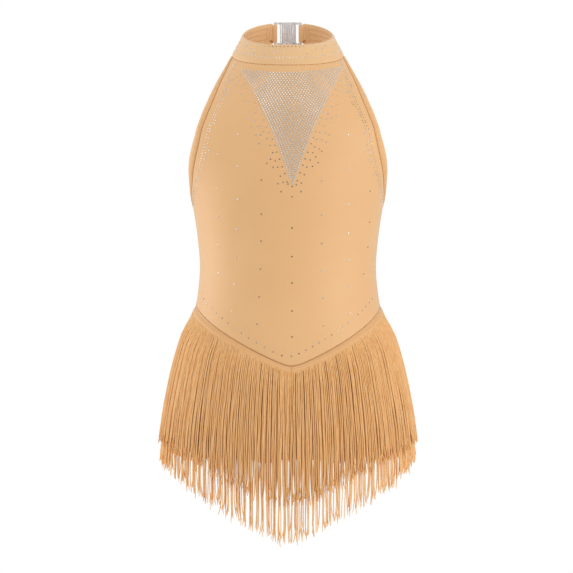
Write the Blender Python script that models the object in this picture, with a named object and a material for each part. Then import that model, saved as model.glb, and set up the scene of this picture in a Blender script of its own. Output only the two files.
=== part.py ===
"""Latin dance dress for a child: a stretch halter bodice with a mock-neck collar and a nape clasp, a
V waist seam, and a flared base skirt under two tiers of chainette fringe, filled out as it is worn.

Metres, +Z up. The wearer's front faces -Y and +X is on the right of someone looking at the front.
The origin is in the middle of the neck, where the collar holds the dress up.

A point of the dress is found from an angle round the body, 0 in front, 90 degrees at the side seam
and 180 at the back, and from the height of a section. Sections are level, apart from those near the
neck, which tilt with the collar."""

import bisect
import math
from collections import namedtuple

import bmesh
import bpy
import numpy as np
from mathutils import Matrix, Vector

MM = 0.001
SIDE = math.pi / 2
BACK = math.pi

# Cloth
CLOTH = 1.2 * MM  # bodice and skirt wall
SEAM_GAP = 0.3 * MM  # between two pieces that are sewn together
SIDE_SEAM_GAP = 0.5 * MM  # wider, because the walls lean together on the inside of the curve

# Sections of the dress, in millimetres: half its width, and how far its front and back stand out.
Level = namedtuple("Level", "height half_width front_depth back_depth")
LEVELS = (
    Level(-28.9, 62.3, 55.0, 52.0),
    Level(-40.0, 72.2, 60.5, 58.0),
    Level(-55.0, 86.6, 67.5, 64.0),
    Level(-70.0, 102.9, 73.5, 69.0),
    Level(-85.0, 118.0, 78.5, 73.0),
    Level(-97.0, 126.0, 81.8, 76.0),
    Level(-110.0, 128.0, 84.5, 78.0),
    Level(-125.0, 124.5, 86.8, 80.0),
    Level(-140.0, 118.4, 87.8, 81.0),
    Level(-155.0, 112.4, 88.0, 81.0),
    Level(-171.0, 108.3, 87.0, 80.0),
    Level(-190.0, 105.0, 84.5, 77.0),
    Level(-220.0, 100.8, 80.5, 71.0),
    Level(-250.0, 98.6, 78.5, 68.0),
    Level(-275.0, 100.4, 79.5, 72.0),
    Level(-300.0, 104.8, 82.5, 80.5),
    Level(-320.0, 111.4, 86.0, 87.5),
    Level(-340.0, 118.2, 90.5, 93.5),
    Level(-360.0, 123.8, 95.5, 98.5),
    Level(-390.0, 130.4, 102.5, 104.5),
    Level(-425.0, 136.4, 109.5, 110.0),
    Level(-458.0, 139.0, 115.0, 113.5),
    Level(-505.0, 138.5, 116.5, 113.5),
    Level(-550.0, 137.5, 116.0, 112.5),
)

# Neck
COLLAR_SEAM = -28.9 * MM  # section height of the seam between collar and bodice
NECK_RISE = 35.5 * MM  # from the front of that seam to its back
NECK_RISE_POWER = 1.12
NECK_TILT_ENDS = 90 * MM  # how far below the collar seam the sections are level again

# Collar: a doubled band that leans in towards its top and folds round the clasp's bars
COLLAR_HEIGHT = 23.2 * MM
COLLAR_THICK = 2.0 * MM
COLLAR_TOP = (50.6 * MM, 46.5 * MM, 48.0 * MM)  # half width, front and back depth
COLLAR_BOTTOM = (62.6 * MM, 55.2 * MM, 52.0 * MM)
COLLAR_BACK_POWER = 2.35  # squarer behind, where the clasp pulls it flat
COLLAR_END = 12.6 * MM  # half the opening at the nape
COLLAR_FOLD = 4.0 * MM  # thickness where it is folded round the clasp
COLLAR_FOLD_HEIGHT = 20.0 * MM
COLLAR_FOLD_FROM = 18.6 * MM  # half width at which the band starts to narrow into the clasp
COLLAR_FOLD_TO = 16.6 * MM
COLLAR_CROWDING = 1.35  # above 1, the stations crowd towards the ends, where the band folds

# Clasp at the nape: a tongue in a sleeve, each with a slotted end that the collar is folded through
CLASP_HALF_WIDTH = 16.0 * MM
CLASP_HEIGHT = 25.6 * MM
CLASP_BAR = 2.0 * MM
CLASP_PLATE = 1.4 * MM
CLASP_SLOT_HEIGHT = 20.8 * MM
CLASP_CENTRE_HALF = 9.2 * MM  # half the width of sleeve and shoulder together
CLASP_SHOULDER = 1.4 * MM
CLASP_SLEEVE_THICK = 3.6 * MM
CLASP_SLEEVE_WALL = 0.9 * MM
CLASP_POCKET_HEIGHT = 19.0 * MM
CLASP_CLEAR = 0.3 * MM
CLASP_WEB = 0.2 * MM  # of the slotted plate, left beside the sleeve
CLASP_STEP = 0.3 * MM  # by which the plates stand above and below the sleeve
CLASP_TONGUE_SHORT = 1.8 * MM  # the tongue ends this far inside the sleeve's closed end
CLASP_ROOT = 0.4 * MM  # how far the tongue and the slotted end run into the hook's shoulder

# Armhole edge, from the collar down to the side seam and on across the back, in degrees and mm
Edge = namedtuple("Edge", "angle height")
ARMHOLE = (
    Edge(90.0, -28.9),
    Edge(78.0, -40.0),
    Edge(68.5, -55.0),
    Edge(59.5, -70.0),
    Edge(54.0, -85.0),
    Edge(52.5, -97.0),
    Edge(54.0, -110.0),
    Edge(60.0, -125.0),
    Edge(68.5, -140.0),
    Edge(78.0, -155.0),
    Edge(90.0, -171.0),
    Edge(104.0, -184.0),
    Edge(122.0, -196.0),
    Edge(145.0, -206.0),
    Edge(180.0, -211.0),
)
BINDING_WIDTH = 7.8 * MM
BINDING_THICK = 2.4 * MM
BINDING_PROUD = 0.6 * MM  # how far it stands out of the panel that it edges

# Waist seam: a rounded V in front, nearly straight behind
SEAM_TIP = -357.0 * MM
SEAM_SIDE = -291.0 * MM
SEAM_BACK = -303.0 * MM
V_ROUNDING = 0.06  # share of the half width over which the tip is round
V_TURN = math.radians(1.8)  # round the body, to the wearer's left, as the dress is worn
HEM = -458.0 * MM
WAIST = -250.0 * MM

# Fringe: a woven tape with locks of chainette that hang from it
FRINGE_TIP = (-358.0 * MM, -395.0 * MM)  # top of the tape in front, upper and lower tier
FRINGE_SIDE = (-294.0 * MM, -315.0 * MM)
FRINGE_BACK = (-304.0 * MM, -327.0 * MM)
FRINGE_FULLNESS = (0.3, 0.35)  # how far each line bows up between tip and side
TAPE_HEIGHT = 8.0 * MM
TAPE_THICK = 1.6 * MM
TAPE_OUT = 0.75 * MM  # clear of the skirt, whose facets bulge less than its curve
FRINGE_LENGTH = (145.0 * MM, 150.0 * MM)  # with the tape
FRINGE_OUT = (5.1 * MM, 1.7 * MM)  # inner side of the locks, off the skirt, once they hang clear
FRINGE_CLEARS = 26.0 * MM  # below the tape, where they have swung out that far
LOCKS_FRONT = (56, 54)
LOCKS_BACK = (50, 48)
LOCK_THICK = 1.5 * MM
LOCK_STATIONS = ((0.22, 1.1), (0.58, 1.15), (1.0, 0.8))  # share of the length, and of the root's width
TIP_JITTER = 3.0 * MM
TIP_SEEDS_FRONT = (11, 12)
TIP_SEEDS_BACK = (21, 22)

# A folded edge, which ends in a flat nose
FOLD_NOSE = 0.4  # share of the thickness
BINDING_FLAT = 0.88  # share of the binding's width up to which its two faces are parallel
COLLAR_FLAT = 0.93

# Facets
PANEL_COLUMNS = 28
ARMHOLE_ROWS = 18
SIDE_ROWS = 9
BACK_ROWS = 8
SKIRT_ROWS = 7
COLLAR_STATIONS = 48
SHARP_ANGLE = math.radians(35)

NUDE = (0.72, 0.42, 0.20, 1.0)
NUDE_SHADE = (0.62, 0.34, 0.15, 1.0)
FRINGE_COLOUR = (0.68, 0.38, 0.16, 1.0)
CLEAR_PLASTIC = (0.72, 0.70, 0.67, 1.0)


def clear_scene():
    for obj in list(bpy.data.objects):
        bpy.data.objects.remove(obj, do_unlink=True)


def material(name, colour, roughness):
    made = bpy.data.materials.new(name)
    made.use_nodes = True
    shader = made.node_tree.nodes["Principled BSDF"]
    shader.inputs["Base Color"].default_value = colour
    shader.inputs["Roughness"].default_value = roughness
    shader.inputs["Metallic"].default_value = 0.0
    return made


# Curves and surfaces


Curve = namedtuple("Curve", "xs ys slopes")


def curve(xs, ys):
    """A smooth curve through points whose xs rise."""
    return Curve(xs, ys, np.gradient(ys, xs))


def at(line, x):
    """The curve's value at x. It runs on past its ends."""
    xs, ys, slopes = line
    i = min(max(bisect.bisect_right(xs, x) - 1, 0), len(xs) - 2)
    step = xs[i + 1] - xs[i]
    f = (x - xs[i]) / step
    start = (1 + 2 * f) * (1 - f) ** 2 * ys[i] + f * (1 - f) ** 2 * step * slopes[i]
    end = f * f * (3 - 2 * f) * ys[i + 1] + f * f * (f - 1) * step * slopes[i + 1]
    return float(start + end)


def smoothstep(f):
    f = min(1.0, max(0.0, f))
    return f * f * (3 - 2 * f)


def mix(a, b, f):
    return a + (b - a) * f


HEIGHTS, *SIZES = (np.array(LEVELS[::-1]) * MM).T
HALF_WIDTH, FRONT_DEPTH, BACK_DEPTH = (curve(HEIGHTS, sizes) for sizes in SIZES)
ARMHOLE_STEPS = np.arange(len(ARMHOLE), dtype=float)
ARMHOLE_ANGLE = curve(ARMHOLE_STEPS, np.radians([edge.angle for edge in ARMHOLE]))
ARMHOLE_HEIGHT = curve(ARMHOLE_STEPS, np.array([edge.height for edge in ARMHOLE]) * MM)
AT_UNDERARM = ARMHOLE.index(Edge(90.0, -171.0))
AT_BACK = len(ARMHOLE) - 1


def neck_rise(angle):
    """How far a line round the neck has risen at this angle, from its lowest point in front."""
    return NECK_RISE * ((1 - math.cos(angle)) / 2) ** NECK_RISE_POWER


def skin(angle, height):
    """The outer surface of the dress."""
    depth = at(FRONT_DEPTH if math.cos(angle) > 0 else BACK_DEPTH, height)
    tilt = 1 - smoothstep((COLLAR_SEAM - height) / NECK_TILT_ENDS)
    return Vector(
        (
            at(HALF_WIDTH, height) * math.sin(angle),
            -depth * math.cos(angle),
            height + tilt * neck_rise(angle),
        )
    )


def slopes(surface, u, v, step=1e-4):
    """The surface's two directions at a point."""
    along = (surface(u + step, v) - surface(u - step, v)) / (2 * step)
    up = (surface(u, v + step) - surface(u, v - step)) / (2 * step)
    return along, up


def off(surface, u, v, out):
    """A point of the surface moved out, square to it."""
    along, up = slopes(surface, u, v)
    return surface(u, v) + out * along.cross(up).normalized()


def side_gap(depth):
    """Half of the gap at the side seam, as an angle."""
    return SIDE_SEAM_GAP / 2 / at(depth, WAIST)


def edge_line(step):
    """Angle and height of the armhole edge, by the table's rows."""
    return at(ARMHOLE_ANGLE, step), at(ARMHOLE_HEIGHT, step)


def inset_line(step, width):
    """Angle and height of the line that lies this far inside the armhole edge."""
    angle, height = edge_line(step)
    small = 0.01
    run = skin(*edge_line(step + small)) - skin(*edge_line(step - small))
    along, up = slopes(skin, angle, height)
    inward = width * run.cross(along.cross(up)).normalized()
    return (
        angle + inward.dot(along) / along.length_squared,
        height + inward.dot(up) / up.length_squared,
    )


def crossing(found, low, high):
    """Where a function that is above zero at low and below it at high crosses zero."""
    for _ in range(40):
        middle = (low + high) / 2
        low, high = (middle, high) if found(middle) > 0 else (low, middle)
    return (low + high) / 2


def edge_span(width, seam_side):
    """First and last step, down the front's edge, of the line this far inside it."""
    top = COLLAR_SEAM - SEAM_GAP
    first = crossing(lambda step: inset_line(step, width)[1] - top, 0.0, 3.0) if width else 0.0
    last = crossing(lambda step: seam_side - inset_line(step, width)[0], AT_UNDERARM - 2, AT_BACK)
    return first, last


def rounded_v(angle, tip, side, fullness):
    """Height of a V line in front: its tip is round and its sides bow up."""
    share = min(1.0, abs(angle) / SIDE)
    share = share * (1 + fullness) - fullness * share**3
    rise = (math.hypot(share, V_ROUNDING) - V_ROUNDING) / (math.hypot(1, V_ROUNDING) - V_ROUNDING)
    return mix(tip, side, rise)


def line_round(angle, tip, side, back, fullness):
    """Height of a line right round the dress: a V in front, dipping a little behind."""
    if math.cos(angle) >= 0:
        return rounded_v(math.asin(math.sin(angle)), tip, side, fullness)
    return mix(side, back, smoothstep(-math.cos(angle)))


def waist_seam(angle):
    return line_round(angle - V_TURN, SEAM_TIP, SEAM_SIDE, SEAM_BACK, FRINGE_FULLNESS[0])


# Solids


def new_object(name, bm, finish):
    mesh = bpy.data.meshes.new(name)
    bm.to_mesh(mesh)
    bm.free()
    mesh.materials.append(finish)
    mesh.shade_smooth()
    mesh.set_sharp_from_angle(angle=SHARP_ANGLE)
    obj = bpy.data.objects.new(name, mesh)
    bpy.context.scene.collection.objects.link(obj)
    return obj


def grid(columns, rows, place):
    """A grid whose points are placed by (share across, share down)."""
    bm = bmesh.new()
    bmesh.ops.create_grid(bm, x_segments=columns, y_segments=rows, size=1.0)
    for vert in bm.verts:
        vert.co = place((vert.co.x + 1) / 2, (1 - vert.co.y) / 2)
    return bm


def panel(name, columns, rows, place, finish):
    """A wall of cloth whose outer face is placed by (share across, share down)."""
    bm = grid(columns, rows, place)
    obj = new_object(name, bm, finish)
    wall = obj.modifiers.new("Wall", "SOLIDIFY")
    wall.thickness = CLOTH
    wall.offset = -1.0
    wall.use_even_offset = True
    wall.use_quality_normals = True
    return obj


def sleeve_mesh(stations, corners, place):
    """A closed solid along a path: place gives corner number n of the section at a share of the path."""
    bm = grid(stations, corners, lambda along, girth: place(along, round(girth * corners) % corners))
    bmesh.ops.remove_doubles(bm, verts=bm.verts, dist=1e-7)
    bmesh.ops.holes_fill(bm, edges=[edge for edge in bm.edges if edge.is_boundary], sides=0)
    bmesh.ops.recalc_face_normals(bm, faces=bm.faces)
    return bm


# Bodice


def front_panel(finish):
    """The front, from the collar seam to the V, less the width of the armhole bindings."""
    seam_side = SIDE - side_gap(FRONT_DEPTH)
    inset = BINDING_WIDTH + SEAM_GAP
    first, last = edge_span(inset, seam_side)
    armhole_share = ARMHOLE_ROWS / (ARMHOLE_ROWS + SIDE_ROWS)

    def place(across, down):
        across = 2 * across - 1
        if down <= armhole_share:
            angle, height = inset_line(mix(first, last, down / armhole_share), inset)
            return skin(across * angle, height)
        angle = across * seam_side
        underarm = inset_line(last, inset)[1]
        share = (down - armhole_share) / (1 - armhole_share)
        return skin(angle, mix(underarm, waist_seam(angle) + SEAM_GAP / 2, share))

    return panel("bodice_front", PANEL_COLUMNS, ARMHOLE_ROWS + SIDE_ROWS, place, finish)


def back_panel(finish):
    """The low back, from its bound top edge to the waist seam."""
    seam_side = SIDE + side_gap(BACK_DEPTH)
    inset = BINDING_WIDTH + SEAM_GAP
    _, first = edge_span(inset, seam_side)

    def place(across, down):
        across = 1 - 2 * across
        side = math.copysign(1.0, across)
        angle_top, height_top = inset_line(mix(AT_BACK, first, abs(across)), inset)
        angle_low = mix(BACK, seam_side, abs(across))
        height_low = waist_seam(side * angle_low) + SEAM_GAP / 2
        return skin(side * mix(angle_top, angle_low, down), mix(height_top, height_low, down))

    return panel("bodice_back", PANEL_COLUMNS, BACK_ROWS, place, finish)


def folded_section(flat):
    """Corners of a folded strip's section: share of its width, from the seam to the fold, and share of its
    thickness, from the inside out. It is flat up to this share of its width, and rounded over the fold."""
    fold = (1.0 - FOLD_NOSE) / 2
    return (0.0, 1.0), (flat, 1.0), (1.0, 1.0 - fold), (1.0, fold), (flat, 0.0), (0.0, 0.0)


def binding(name, stations, pair, finish):
    """A folded strip between two lines: pair gives the seam's and the free edge's angle and height."""
    section = folded_section(BINDING_FLAT)

    def place(along, corner):
        across, out = section[corner]
        seam, free = pair(along)
        angle = mix(seam[0], free[0], across)
        height = mix(seam[1], free[1], across)
        return off(skin, angle, height, BINDING_PROUD - (1 - out) * BINDING_THICK)

    bm = sleeve_mesh(stations, len(section), place)
    return new_object(name, bm, finish)


def armhole_binding(name, side, finish):
    seam_side = SIDE - side_gap(FRONT_DEPTH)
    outer = edge_span(0.0, seam_side)
    inner = edge_span(BINDING_WIDTH, seam_side)

    def pair(along):
        seam = inset_line(mix(*inner, along), BINDING_WIDTH)
        free_angle, free_height = edge_line(mix(*outer, along))
        free_height = min(free_height, COLLAR_SEAM - 2 * SEAM_GAP)
        return (side * seam[0], seam[1]), (side * free_angle, free_height)

    return binding(name, ARMHOLE_ROWS, pair, finish)


def back_binding(finish):
    seam_side = SIDE + side_gap(BACK_DEPTH)
    _, outer = edge_span(0.0, seam_side)
    _, inner = edge_span(BINDING_WIDTH, seam_side)

    def pair(along):
        share = abs(2 * along - 1)
        turn = math.copysign(1.0, along - 0.5)
        seam = inset_line(mix(AT_BACK, inner, share), BINDING_WIDTH)
        free = edge_line(mix(AT_BACK, outer, share))
        return (
            (BACK - turn * (BACK - seam[0]), seam[1]),
            (BACK - turn * (BACK - free[0]), free[1]),
        )

    return binding("back_binding", PANEL_COLUMNS, pair, finish)


# Collar and clasp


def collar_ring(angle, ring):
    """Plan position on a ring of the collar."""
    half_width, front, back = ring
    power = 1.0 if math.cos(angle) > 0 else 2 / COLLAR_BACK_POWER
    depth = front if math.cos(angle) > 0 else back
    x = half_width * math.copysign(abs(math.sin(angle)) ** power, math.sin(angle))
    y = -depth * math.copysign(abs(math.cos(angle)) ** power, math.cos(angle))
    return x, y


def ring_end(half_opening, ring):
    """The angle behind the neck at which a ring has come in to this half width."""
    return BACK - math.asin((half_opening / ring[0]) ** (COLLAR_BACK_POWER / 2))


def collar_wall(turn, up):
    """The collar's outer face. turn runs from -1 to 1 between its two ends, up from seam to top."""
    low = turn * ring_end(COLLAR_END, COLLAR_BOTTOM)
    high = turn * ring_end(COLLAR_END, COLLAR_TOP)
    x0, y0 = collar_ring(low, COLLAR_BOTTOM)
    x1, y1 = collar_ring(high, COLLAR_TOP)
    bottom = COLLAR_SEAM + neck_rise(mix(low, high, up))
    return Vector((mix(x0, x1, up), mix(y0, y1, up), bottom + up * COLLAR_HEIGHT))


def collar(finish):
    section = folded_section(COLLAR_FLAT)
    narrow = (1 - COLLAR_FOLD_HEIGHT / COLLAR_HEIGHT) / 2

    def place(along, corner):
        turn = 2 * along - 1
        turn = math.copysign(1 - (1 - abs(turn)) ** COLLAR_CROWDING, turn)
        up, out = section[corner]
        wall = collar_wall(turn, up)
        fold = 0.0
        if wall.y > 0:
            fold = smoothstep((COLLAR_FOLD_FROM - abs(wall.x)) / (COLLAR_FOLD_FROM - COLLAR_FOLD_TO))
        up = mix(up, mix(narrow, 1 - narrow, up), fold)
        thick = mix(COLLAR_THICK, COLLAR_FOLD, fold)
        return off(collar_wall, turn, up, out * thick - (thick + COLLAR_THICK) / 2)

    bm = sleeve_mesh(COLLAR_STATIONS, len(section), place)
    return new_object("collar", bm, finish)


def clasp_frame():
    """The clasp's own frame: x across, y out of the nape, z up, with its origin in its middle."""
    bar = CLASP_HALF_WIDTH - CLASP_BAR / 2
    turn = crossing(lambda share: collar_wall(share, 0.5).x - bar, 0.8, 1.0)
    middle = off(collar_wall, turn, 0.5, -COLLAR_THICK / 2)
    up = collar_wall(turn, 1.0) - collar_wall(turn, 0.0)
    up.x = 0.0
    up.normalize()
    across = Vector((1.0, 0.0, 0.0))
    out = up.cross(across)
    frame = Matrix((across, out, up)).transposed().to_4x4()
    frame.translation = Vector((0.0, middle.y, middle.z))
    return frame


def block(name, frame, xs, ys, zs, finish, helper=False):
    """A box between two values on each axis of a frame."""
    bm = bmesh.new()
    bmesh.ops.create_cube(bm, size=1.0)
    size = Matrix.Diagonal((xs[1] - xs[0], ys[1] - ys[0], zs[1] - zs[0], 1.0))
    middle = Matrix.Translation((sum(xs) / 2, sum(ys) / 2, sum(zs) / 2))
    bmesh.ops.transform(bm, matrix=frame @ middle @ size, verts=bm.verts)
    obj = new_object(name, bm, finish)
    if helper:
        obj.hide_render = True
        obj.display_type = "WIRE"
    return obj


def boolean(obj, operation, other):
    step = obj.modifiers.new(other.name, "BOOLEAN")
    step.operation = operation
    step.solver = "EXACT"
    step.object = other


def clasp(frame, finish):
    top = CLASP_HEIGHT / 2
    plate = CLASP_PLATE / 2
    shell = CLASP_SLEEVE_THICK / 2
    slot_top = CLASP_SLOT_HEIGHT / 2
    edge = CLASP_HALF_WIDTH
    centre = CLASP_CENTRE_HALF
    shoulder = -centre + CLASP_SHOULDER
    pocket = CLASP_POCKET_HEIGHT / 2
    inside = shell - CLASP_SLEEVE_WALL
    tongue_end = centre - CLASP_TONGUE_SHORT

    def slot(name, side):
        span = sorted((side * (centre + CLASP_WEB), side * (edge - CLASP_BAR)))
        return block(name, frame, span, (-2 * shell, 2 * shell), (-slot_top, slot_top), finish, True)

    sleeve = top - CLASP_STEP
    socket = block(
        "clasp_socket", frame, (shoulder + CLASP_CLEAR, centre), (-shell, shell), (-sleeve, sleeve), finish
    )
    socket_end = block(
        "socket_end", frame, (centre / 2, edge), (-plate, plate), (-top, top), finish, True
    )
    hollow = block(
        "pocket", frame, (-edge, tongue_end + CLASP_CLEAR), (-inside, inside), (-pocket, pocket), finish, True
    )
    boolean(socket, "UNION", socket_end)
    boolean(socket, "DIFFERENCE", slot("socket_slot", 1))
    boolean(socket, "DIFFERENCE", hollow)

    hook = block("clasp_hook", frame, (-centre, shoulder), (-shell, shell), (-sleeve, sleeve), finish)
    hook_end = block(
        "hook_end", frame, (-edge, shoulder - CLASP_ROOT), (-plate, plate), (-top, top), finish, True
    )
    thin = inside - CLASP_CLEAR
    low = pocket - CLASP_CLEAR
    tongue = block(
        "tongue", frame, (-centre + CLASP_ROOT, tongue_end), (-thin, thin), (-low, low), finish, True
    )
    boolean(hook, "UNION", hook_end)
    boolean(hook, "UNION", tongue)
    boolean(hook, "DIFFERENCE", slot("hook_slot", -1))


def bar_hole(frame, side, finish):
    """The way through a folded end of the collar, round one of the clasp's bars."""
    bar = CLASP_HALF_WIDTH - CLASP_BAR / 2
    half = CLASP_BAR / 2 + CLASP_CLEAR
    deep = CLASP_PLATE / 2 + CLASP_CLEAR
    span = (side * bar - half, side * bar + half)
    name = "bar_hole_right" if side > 0 else "bar_hole_left"
    return block(name, frame, span, (-deep, deep), (-CLASP_HEIGHT, CLASP_HEIGHT), finish, True)


# Skirt and fringe


def skirt(name, middle, finish):
    """Half of the base skirt, from one side seam to the other, about the middle angle."""
    half = SIDE - side_gap(BACK_DEPTH if middle else FRONT_DEPTH)

    def place(across, down):
        angle = middle + mix(-half, half, across)
        return skin(angle, mix(waist_seam(angle) - SEAM_GAP / 2, HEM, down))

    return panel(name, PANEL_COLUMNS, SKIRT_ROWS, place, finish)


def tape_top(tier, angle):
    return line_round(
        angle - V_TURN, FRINGE_TIP[tier], FRINGE_SIDE[tier], FRINGE_BACK[tier], FRINGE_FULLNESS[tier]
    )


def clearance(tier, drop):
    """How far the inside of a tier's locks stands off the skirt, this far below its tape."""
    settled = FRINGE_OUT[tier]
    return mix(TAPE_OUT, settled, smoothstep(drop / FRINGE_CLEARS))


def lock_section(tier, angle, height, drop, half_width):
    """Middle of a lock's section, and its half width and half thickness as vectors."""
    middle = off(skin, angle, height, clearance(tier, drop) + LOCK_THICK / 2)
    along, up = slopes(skin, angle, height)
    out = along.cross(up).normalized()
    return middle, half_width * along.normalized(), LOCK_THICK / 2 * out


def grow_lock(bm, face, tier, angle, length):
    """Extrudes a lock from one face of the tape's lower edge, down to its tip."""
    root = tape_top(tier, angle) - TAPE_HEIGHT
    half_width = max(edge.calc_length() for edge in face.edges) / 2
    _, wide, thick = lock_section(tier, angle, root, 0.0, half_width)
    for share, width in LOCK_STATIONS:
        face = bmesh.ops.extrude_discrete_faces(bm, faces=[face])["faces"][0]
        above = face.calc_center_median()
        drop = share * length
        middle, next_wide, next_thick = lock_section(tier, angle, root - drop, drop, half_width * width)
        for vert in face.verts:
            across = math.copysign(1.0, (vert.co - above).dot(wide))
            through = math.copysign(1.0, (vert.co - above).dot(thick))
            vert.co = middle + across * next_wide + through * next_thick
        wide, thick = next_wide, next_thick


def fringe(name, tier, middle, locks, seed, finish):
    """One tier of fringe over half of the skirt, its roots fused into their tape."""
    half = SIDE - 2 * side_gap(BACK_DEPTH if middle else FRONT_DEPTH)
    cells = 2 * locks - 1
    inside, outside = TAPE_OUT, TAPE_OUT + TAPE_THICK
    corners = ((0.0, inside), (0.0, outside), (-TAPE_HEIGHT, outside), (-TAPE_HEIGHT, inside))

    def place(along, corner):
        angle = middle + mix(-half, half, along)
        drop, out = corners[corner]
        return off(skin, angle, tape_top(tier, angle) + drop, out)

    def turn(face):
        centre = face.calc_center_median()
        return math.remainder(math.atan2(centre.x, -centre.y) - middle, 2 * math.pi)

    bm = sleeve_mesh(cells, len(corners), place)
    lower_edge = sorted((face for face in bm.faces if face.normal.z < -0.5), key=turn)
    chance = np.random.default_rng(seed)
    for number, face in enumerate(lower_edge[::2]):
        angle = middle + mix(-half, half, (2 * number + 0.5) / cells)
        length = FRINGE_LENGTH[tier] - TAPE_HEIGHT + chance.uniform(-TIP_JITTER, TIP_JITTER)
        grow_lock(bm, face, tier, angle, length)
    bmesh.ops.recalc_face_normals(bm, faces=bm.faces)
    return new_object(name, bm, finish)


def build():
    clear_scene()
    stretch = material("Matt_stretch_knit", NUDE, 0.62)
    trim = material("Folded_knit_trim", NUDE_SHADE, 0.66)
    chainette = material("Chainette_fringe", FRINGE_COLOUR, 0.5)
    plastic = material("Clear_plastic", CLEAR_PLASTIC, 0.2)

    front_panel(stretch)
    back_panel(stretch)
    armhole_binding("armhole_binding_right", 1, trim)
    armhole_binding("armhole_binding_left", -1, trim)
    back_binding(trim)

    band = collar(stretch)
    frame = clasp_frame()
    clasp(frame, plastic)
    for side in (-1, 1):
        boolean(band, "DIFFERENCE", bar_hole(frame, side, stretch))

    skirt("skirt_front", 0.0, stretch)
    skirt("skirt_back", BACK, stretch)
    for tier, tier_name in enumerate(("upper", "lower")):
        fringe(f"fringe_{tier_name}_front", tier, 0.0, LOCKS_FRONT[tier], TIP_SEEDS_FRONT[tier], chainette)
        fringe(f"fringe_{tier_name}_back", tier, BACK, LOCKS_BACK[tier], TIP_SEEDS_BACK[tier], chainette)


build()
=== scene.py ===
"""The looks of a child's latin dance dress: matt stretch knit, folded bindings, a doubled collar with a
clear clasp at the nape, rhinestones, sewing threads, and two tiers of chainette fringe.

Metres, +Z up. The wearer's front faces -Y and +X is on the right of someone looking at the front. The
sizes and the formulas for the surface are the model's own: an angle round the body, 0 in front, 90
degrees at the side seam and 180 at the back, and the height of a section give a point of the dress."""

import bisect
from functools import lru_cache
from math import asin, copysign, cos, dist, exp, hypot, pi, radians, sin

import bmesh
import bpy
import numpy as np
from mathutils import Matrix, Vector


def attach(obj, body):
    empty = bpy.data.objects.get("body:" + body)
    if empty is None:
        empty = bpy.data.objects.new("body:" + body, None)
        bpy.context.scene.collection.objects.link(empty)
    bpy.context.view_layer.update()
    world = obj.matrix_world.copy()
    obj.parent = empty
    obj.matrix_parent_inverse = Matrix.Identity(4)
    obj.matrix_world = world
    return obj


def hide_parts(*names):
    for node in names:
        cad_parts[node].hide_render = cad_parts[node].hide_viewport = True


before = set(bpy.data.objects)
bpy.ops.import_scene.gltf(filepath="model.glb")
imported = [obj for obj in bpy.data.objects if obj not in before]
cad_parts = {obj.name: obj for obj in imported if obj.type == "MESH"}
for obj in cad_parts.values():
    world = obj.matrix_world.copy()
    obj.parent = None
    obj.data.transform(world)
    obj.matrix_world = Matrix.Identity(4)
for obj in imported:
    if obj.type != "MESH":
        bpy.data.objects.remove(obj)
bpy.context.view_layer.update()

MM = 0.001
SIDE = pi / 2
BACK = pi

# Sizes of the dress

CLOTH = 1.2 * MM
SEAM_GAP = 0.3 * MM
SIDE_SEAM_GAP = 0.5 * MM

# Height, half width, depth in front and depth behind of each section, in mm
LEVELS = (
    (-28.9, 62.3, 55.0, 52.0), (-40.0, 72.2, 60.5, 58.0), (-55.0, 86.6, 67.5, 64.0),
    (-70.0, 102.9, 73.5, 69.0), (-85.0, 118.0, 78.5, 73.0), (-97.0, 126.0, 81.8, 76.0),
    (-110.0, 128.0, 84.5, 78.0), (-125.0, 124.5, 86.8, 80.0), (-140.0, 118.4, 87.8, 81.0),
    (-155.0, 112.4, 88.0, 81.0), (-171.0, 108.3, 87.0, 80.0), (-190.0, 105.0, 84.5, 77.0),
    (-220.0, 100.8, 80.5, 71.0), (-250.0, 98.6, 78.5, 68.0), (-275.0, 100.4, 79.5, 72.0),
    (-300.0, 104.8, 82.5, 80.5), (-320.0, 111.4, 86.0, 87.5), (-340.0, 118.2, 90.5, 93.5),
    (-360.0, 123.8, 95.5, 98.5), (-390.0, 130.4, 102.5, 104.5), (-425.0, 136.4, 109.5, 110.0),
    (-458.0, 139.0, 115.0, 113.5), (-505.0, 138.5, 116.5, 113.5), (-550.0, 137.5, 116.0, 112.5),
)

COLLAR_SEAM = -28.9 * MM
NECK_RISE = 35.5 * MM
NECK_RISE_POWER = 1.12
NECK_TILT_ENDS = 90 * MM

COLLAR_HEIGHT = 23.2 * MM
COLLAR_THICK = 2.0 * MM
COLLAR_TOP = (50.6 * MM, 46.5 * MM, 48.0 * MM)
COLLAR_BOTTOM = (62.6 * MM, 55.2 * MM, 52.0 * MM)
COLLAR_BACK_POWER = 2.35
COLLAR_END = 12.6 * MM
COLLAR_FOLD = 4.0 * MM
COLLAR_FOLD_HEIGHT = 20.0 * MM
COLLAR_FOLD_FROM = 18.6 * MM
COLLAR_FOLD_TO = 16.6 * MM
COLLAR_CROWDING = 1.35

CLASP_HALF_WIDTH = 16.0 * MM
CLASP_HEIGHT = 25.6 * MM
CLASP_BAR = 2.0 * MM
CLASP_PLATE = 1.4 * MM
CLASP_SLOT_HEIGHT = 20.8 * MM
CLASP_CENTRE_HALF = 9.2 * MM
CLASP_SLEEVE_THICK = 3.6 * MM

# Angle in degrees and height in mm of the cloth's free edge: down the armhole, then round behind
ARMHOLE = (
    (90.0, -28.9), (78.0, -40.0), (68.5, -55.0), (59.5, -70.0), (54.0, -85.0), (52.5, -97.0),
    (54.0, -110.0), (60.0, -125.0), (68.5, -140.0), (78.0, -155.0), (90.0, -171.0), (104.0, -184.0),
    (122.0, -196.0), (145.0, -206.0), (180.0, -211.0),
)
BINDING_WIDTH = 7.8 * MM
CLOTH_INSET = BINDING_WIDTH + SEAM_GAP

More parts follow.
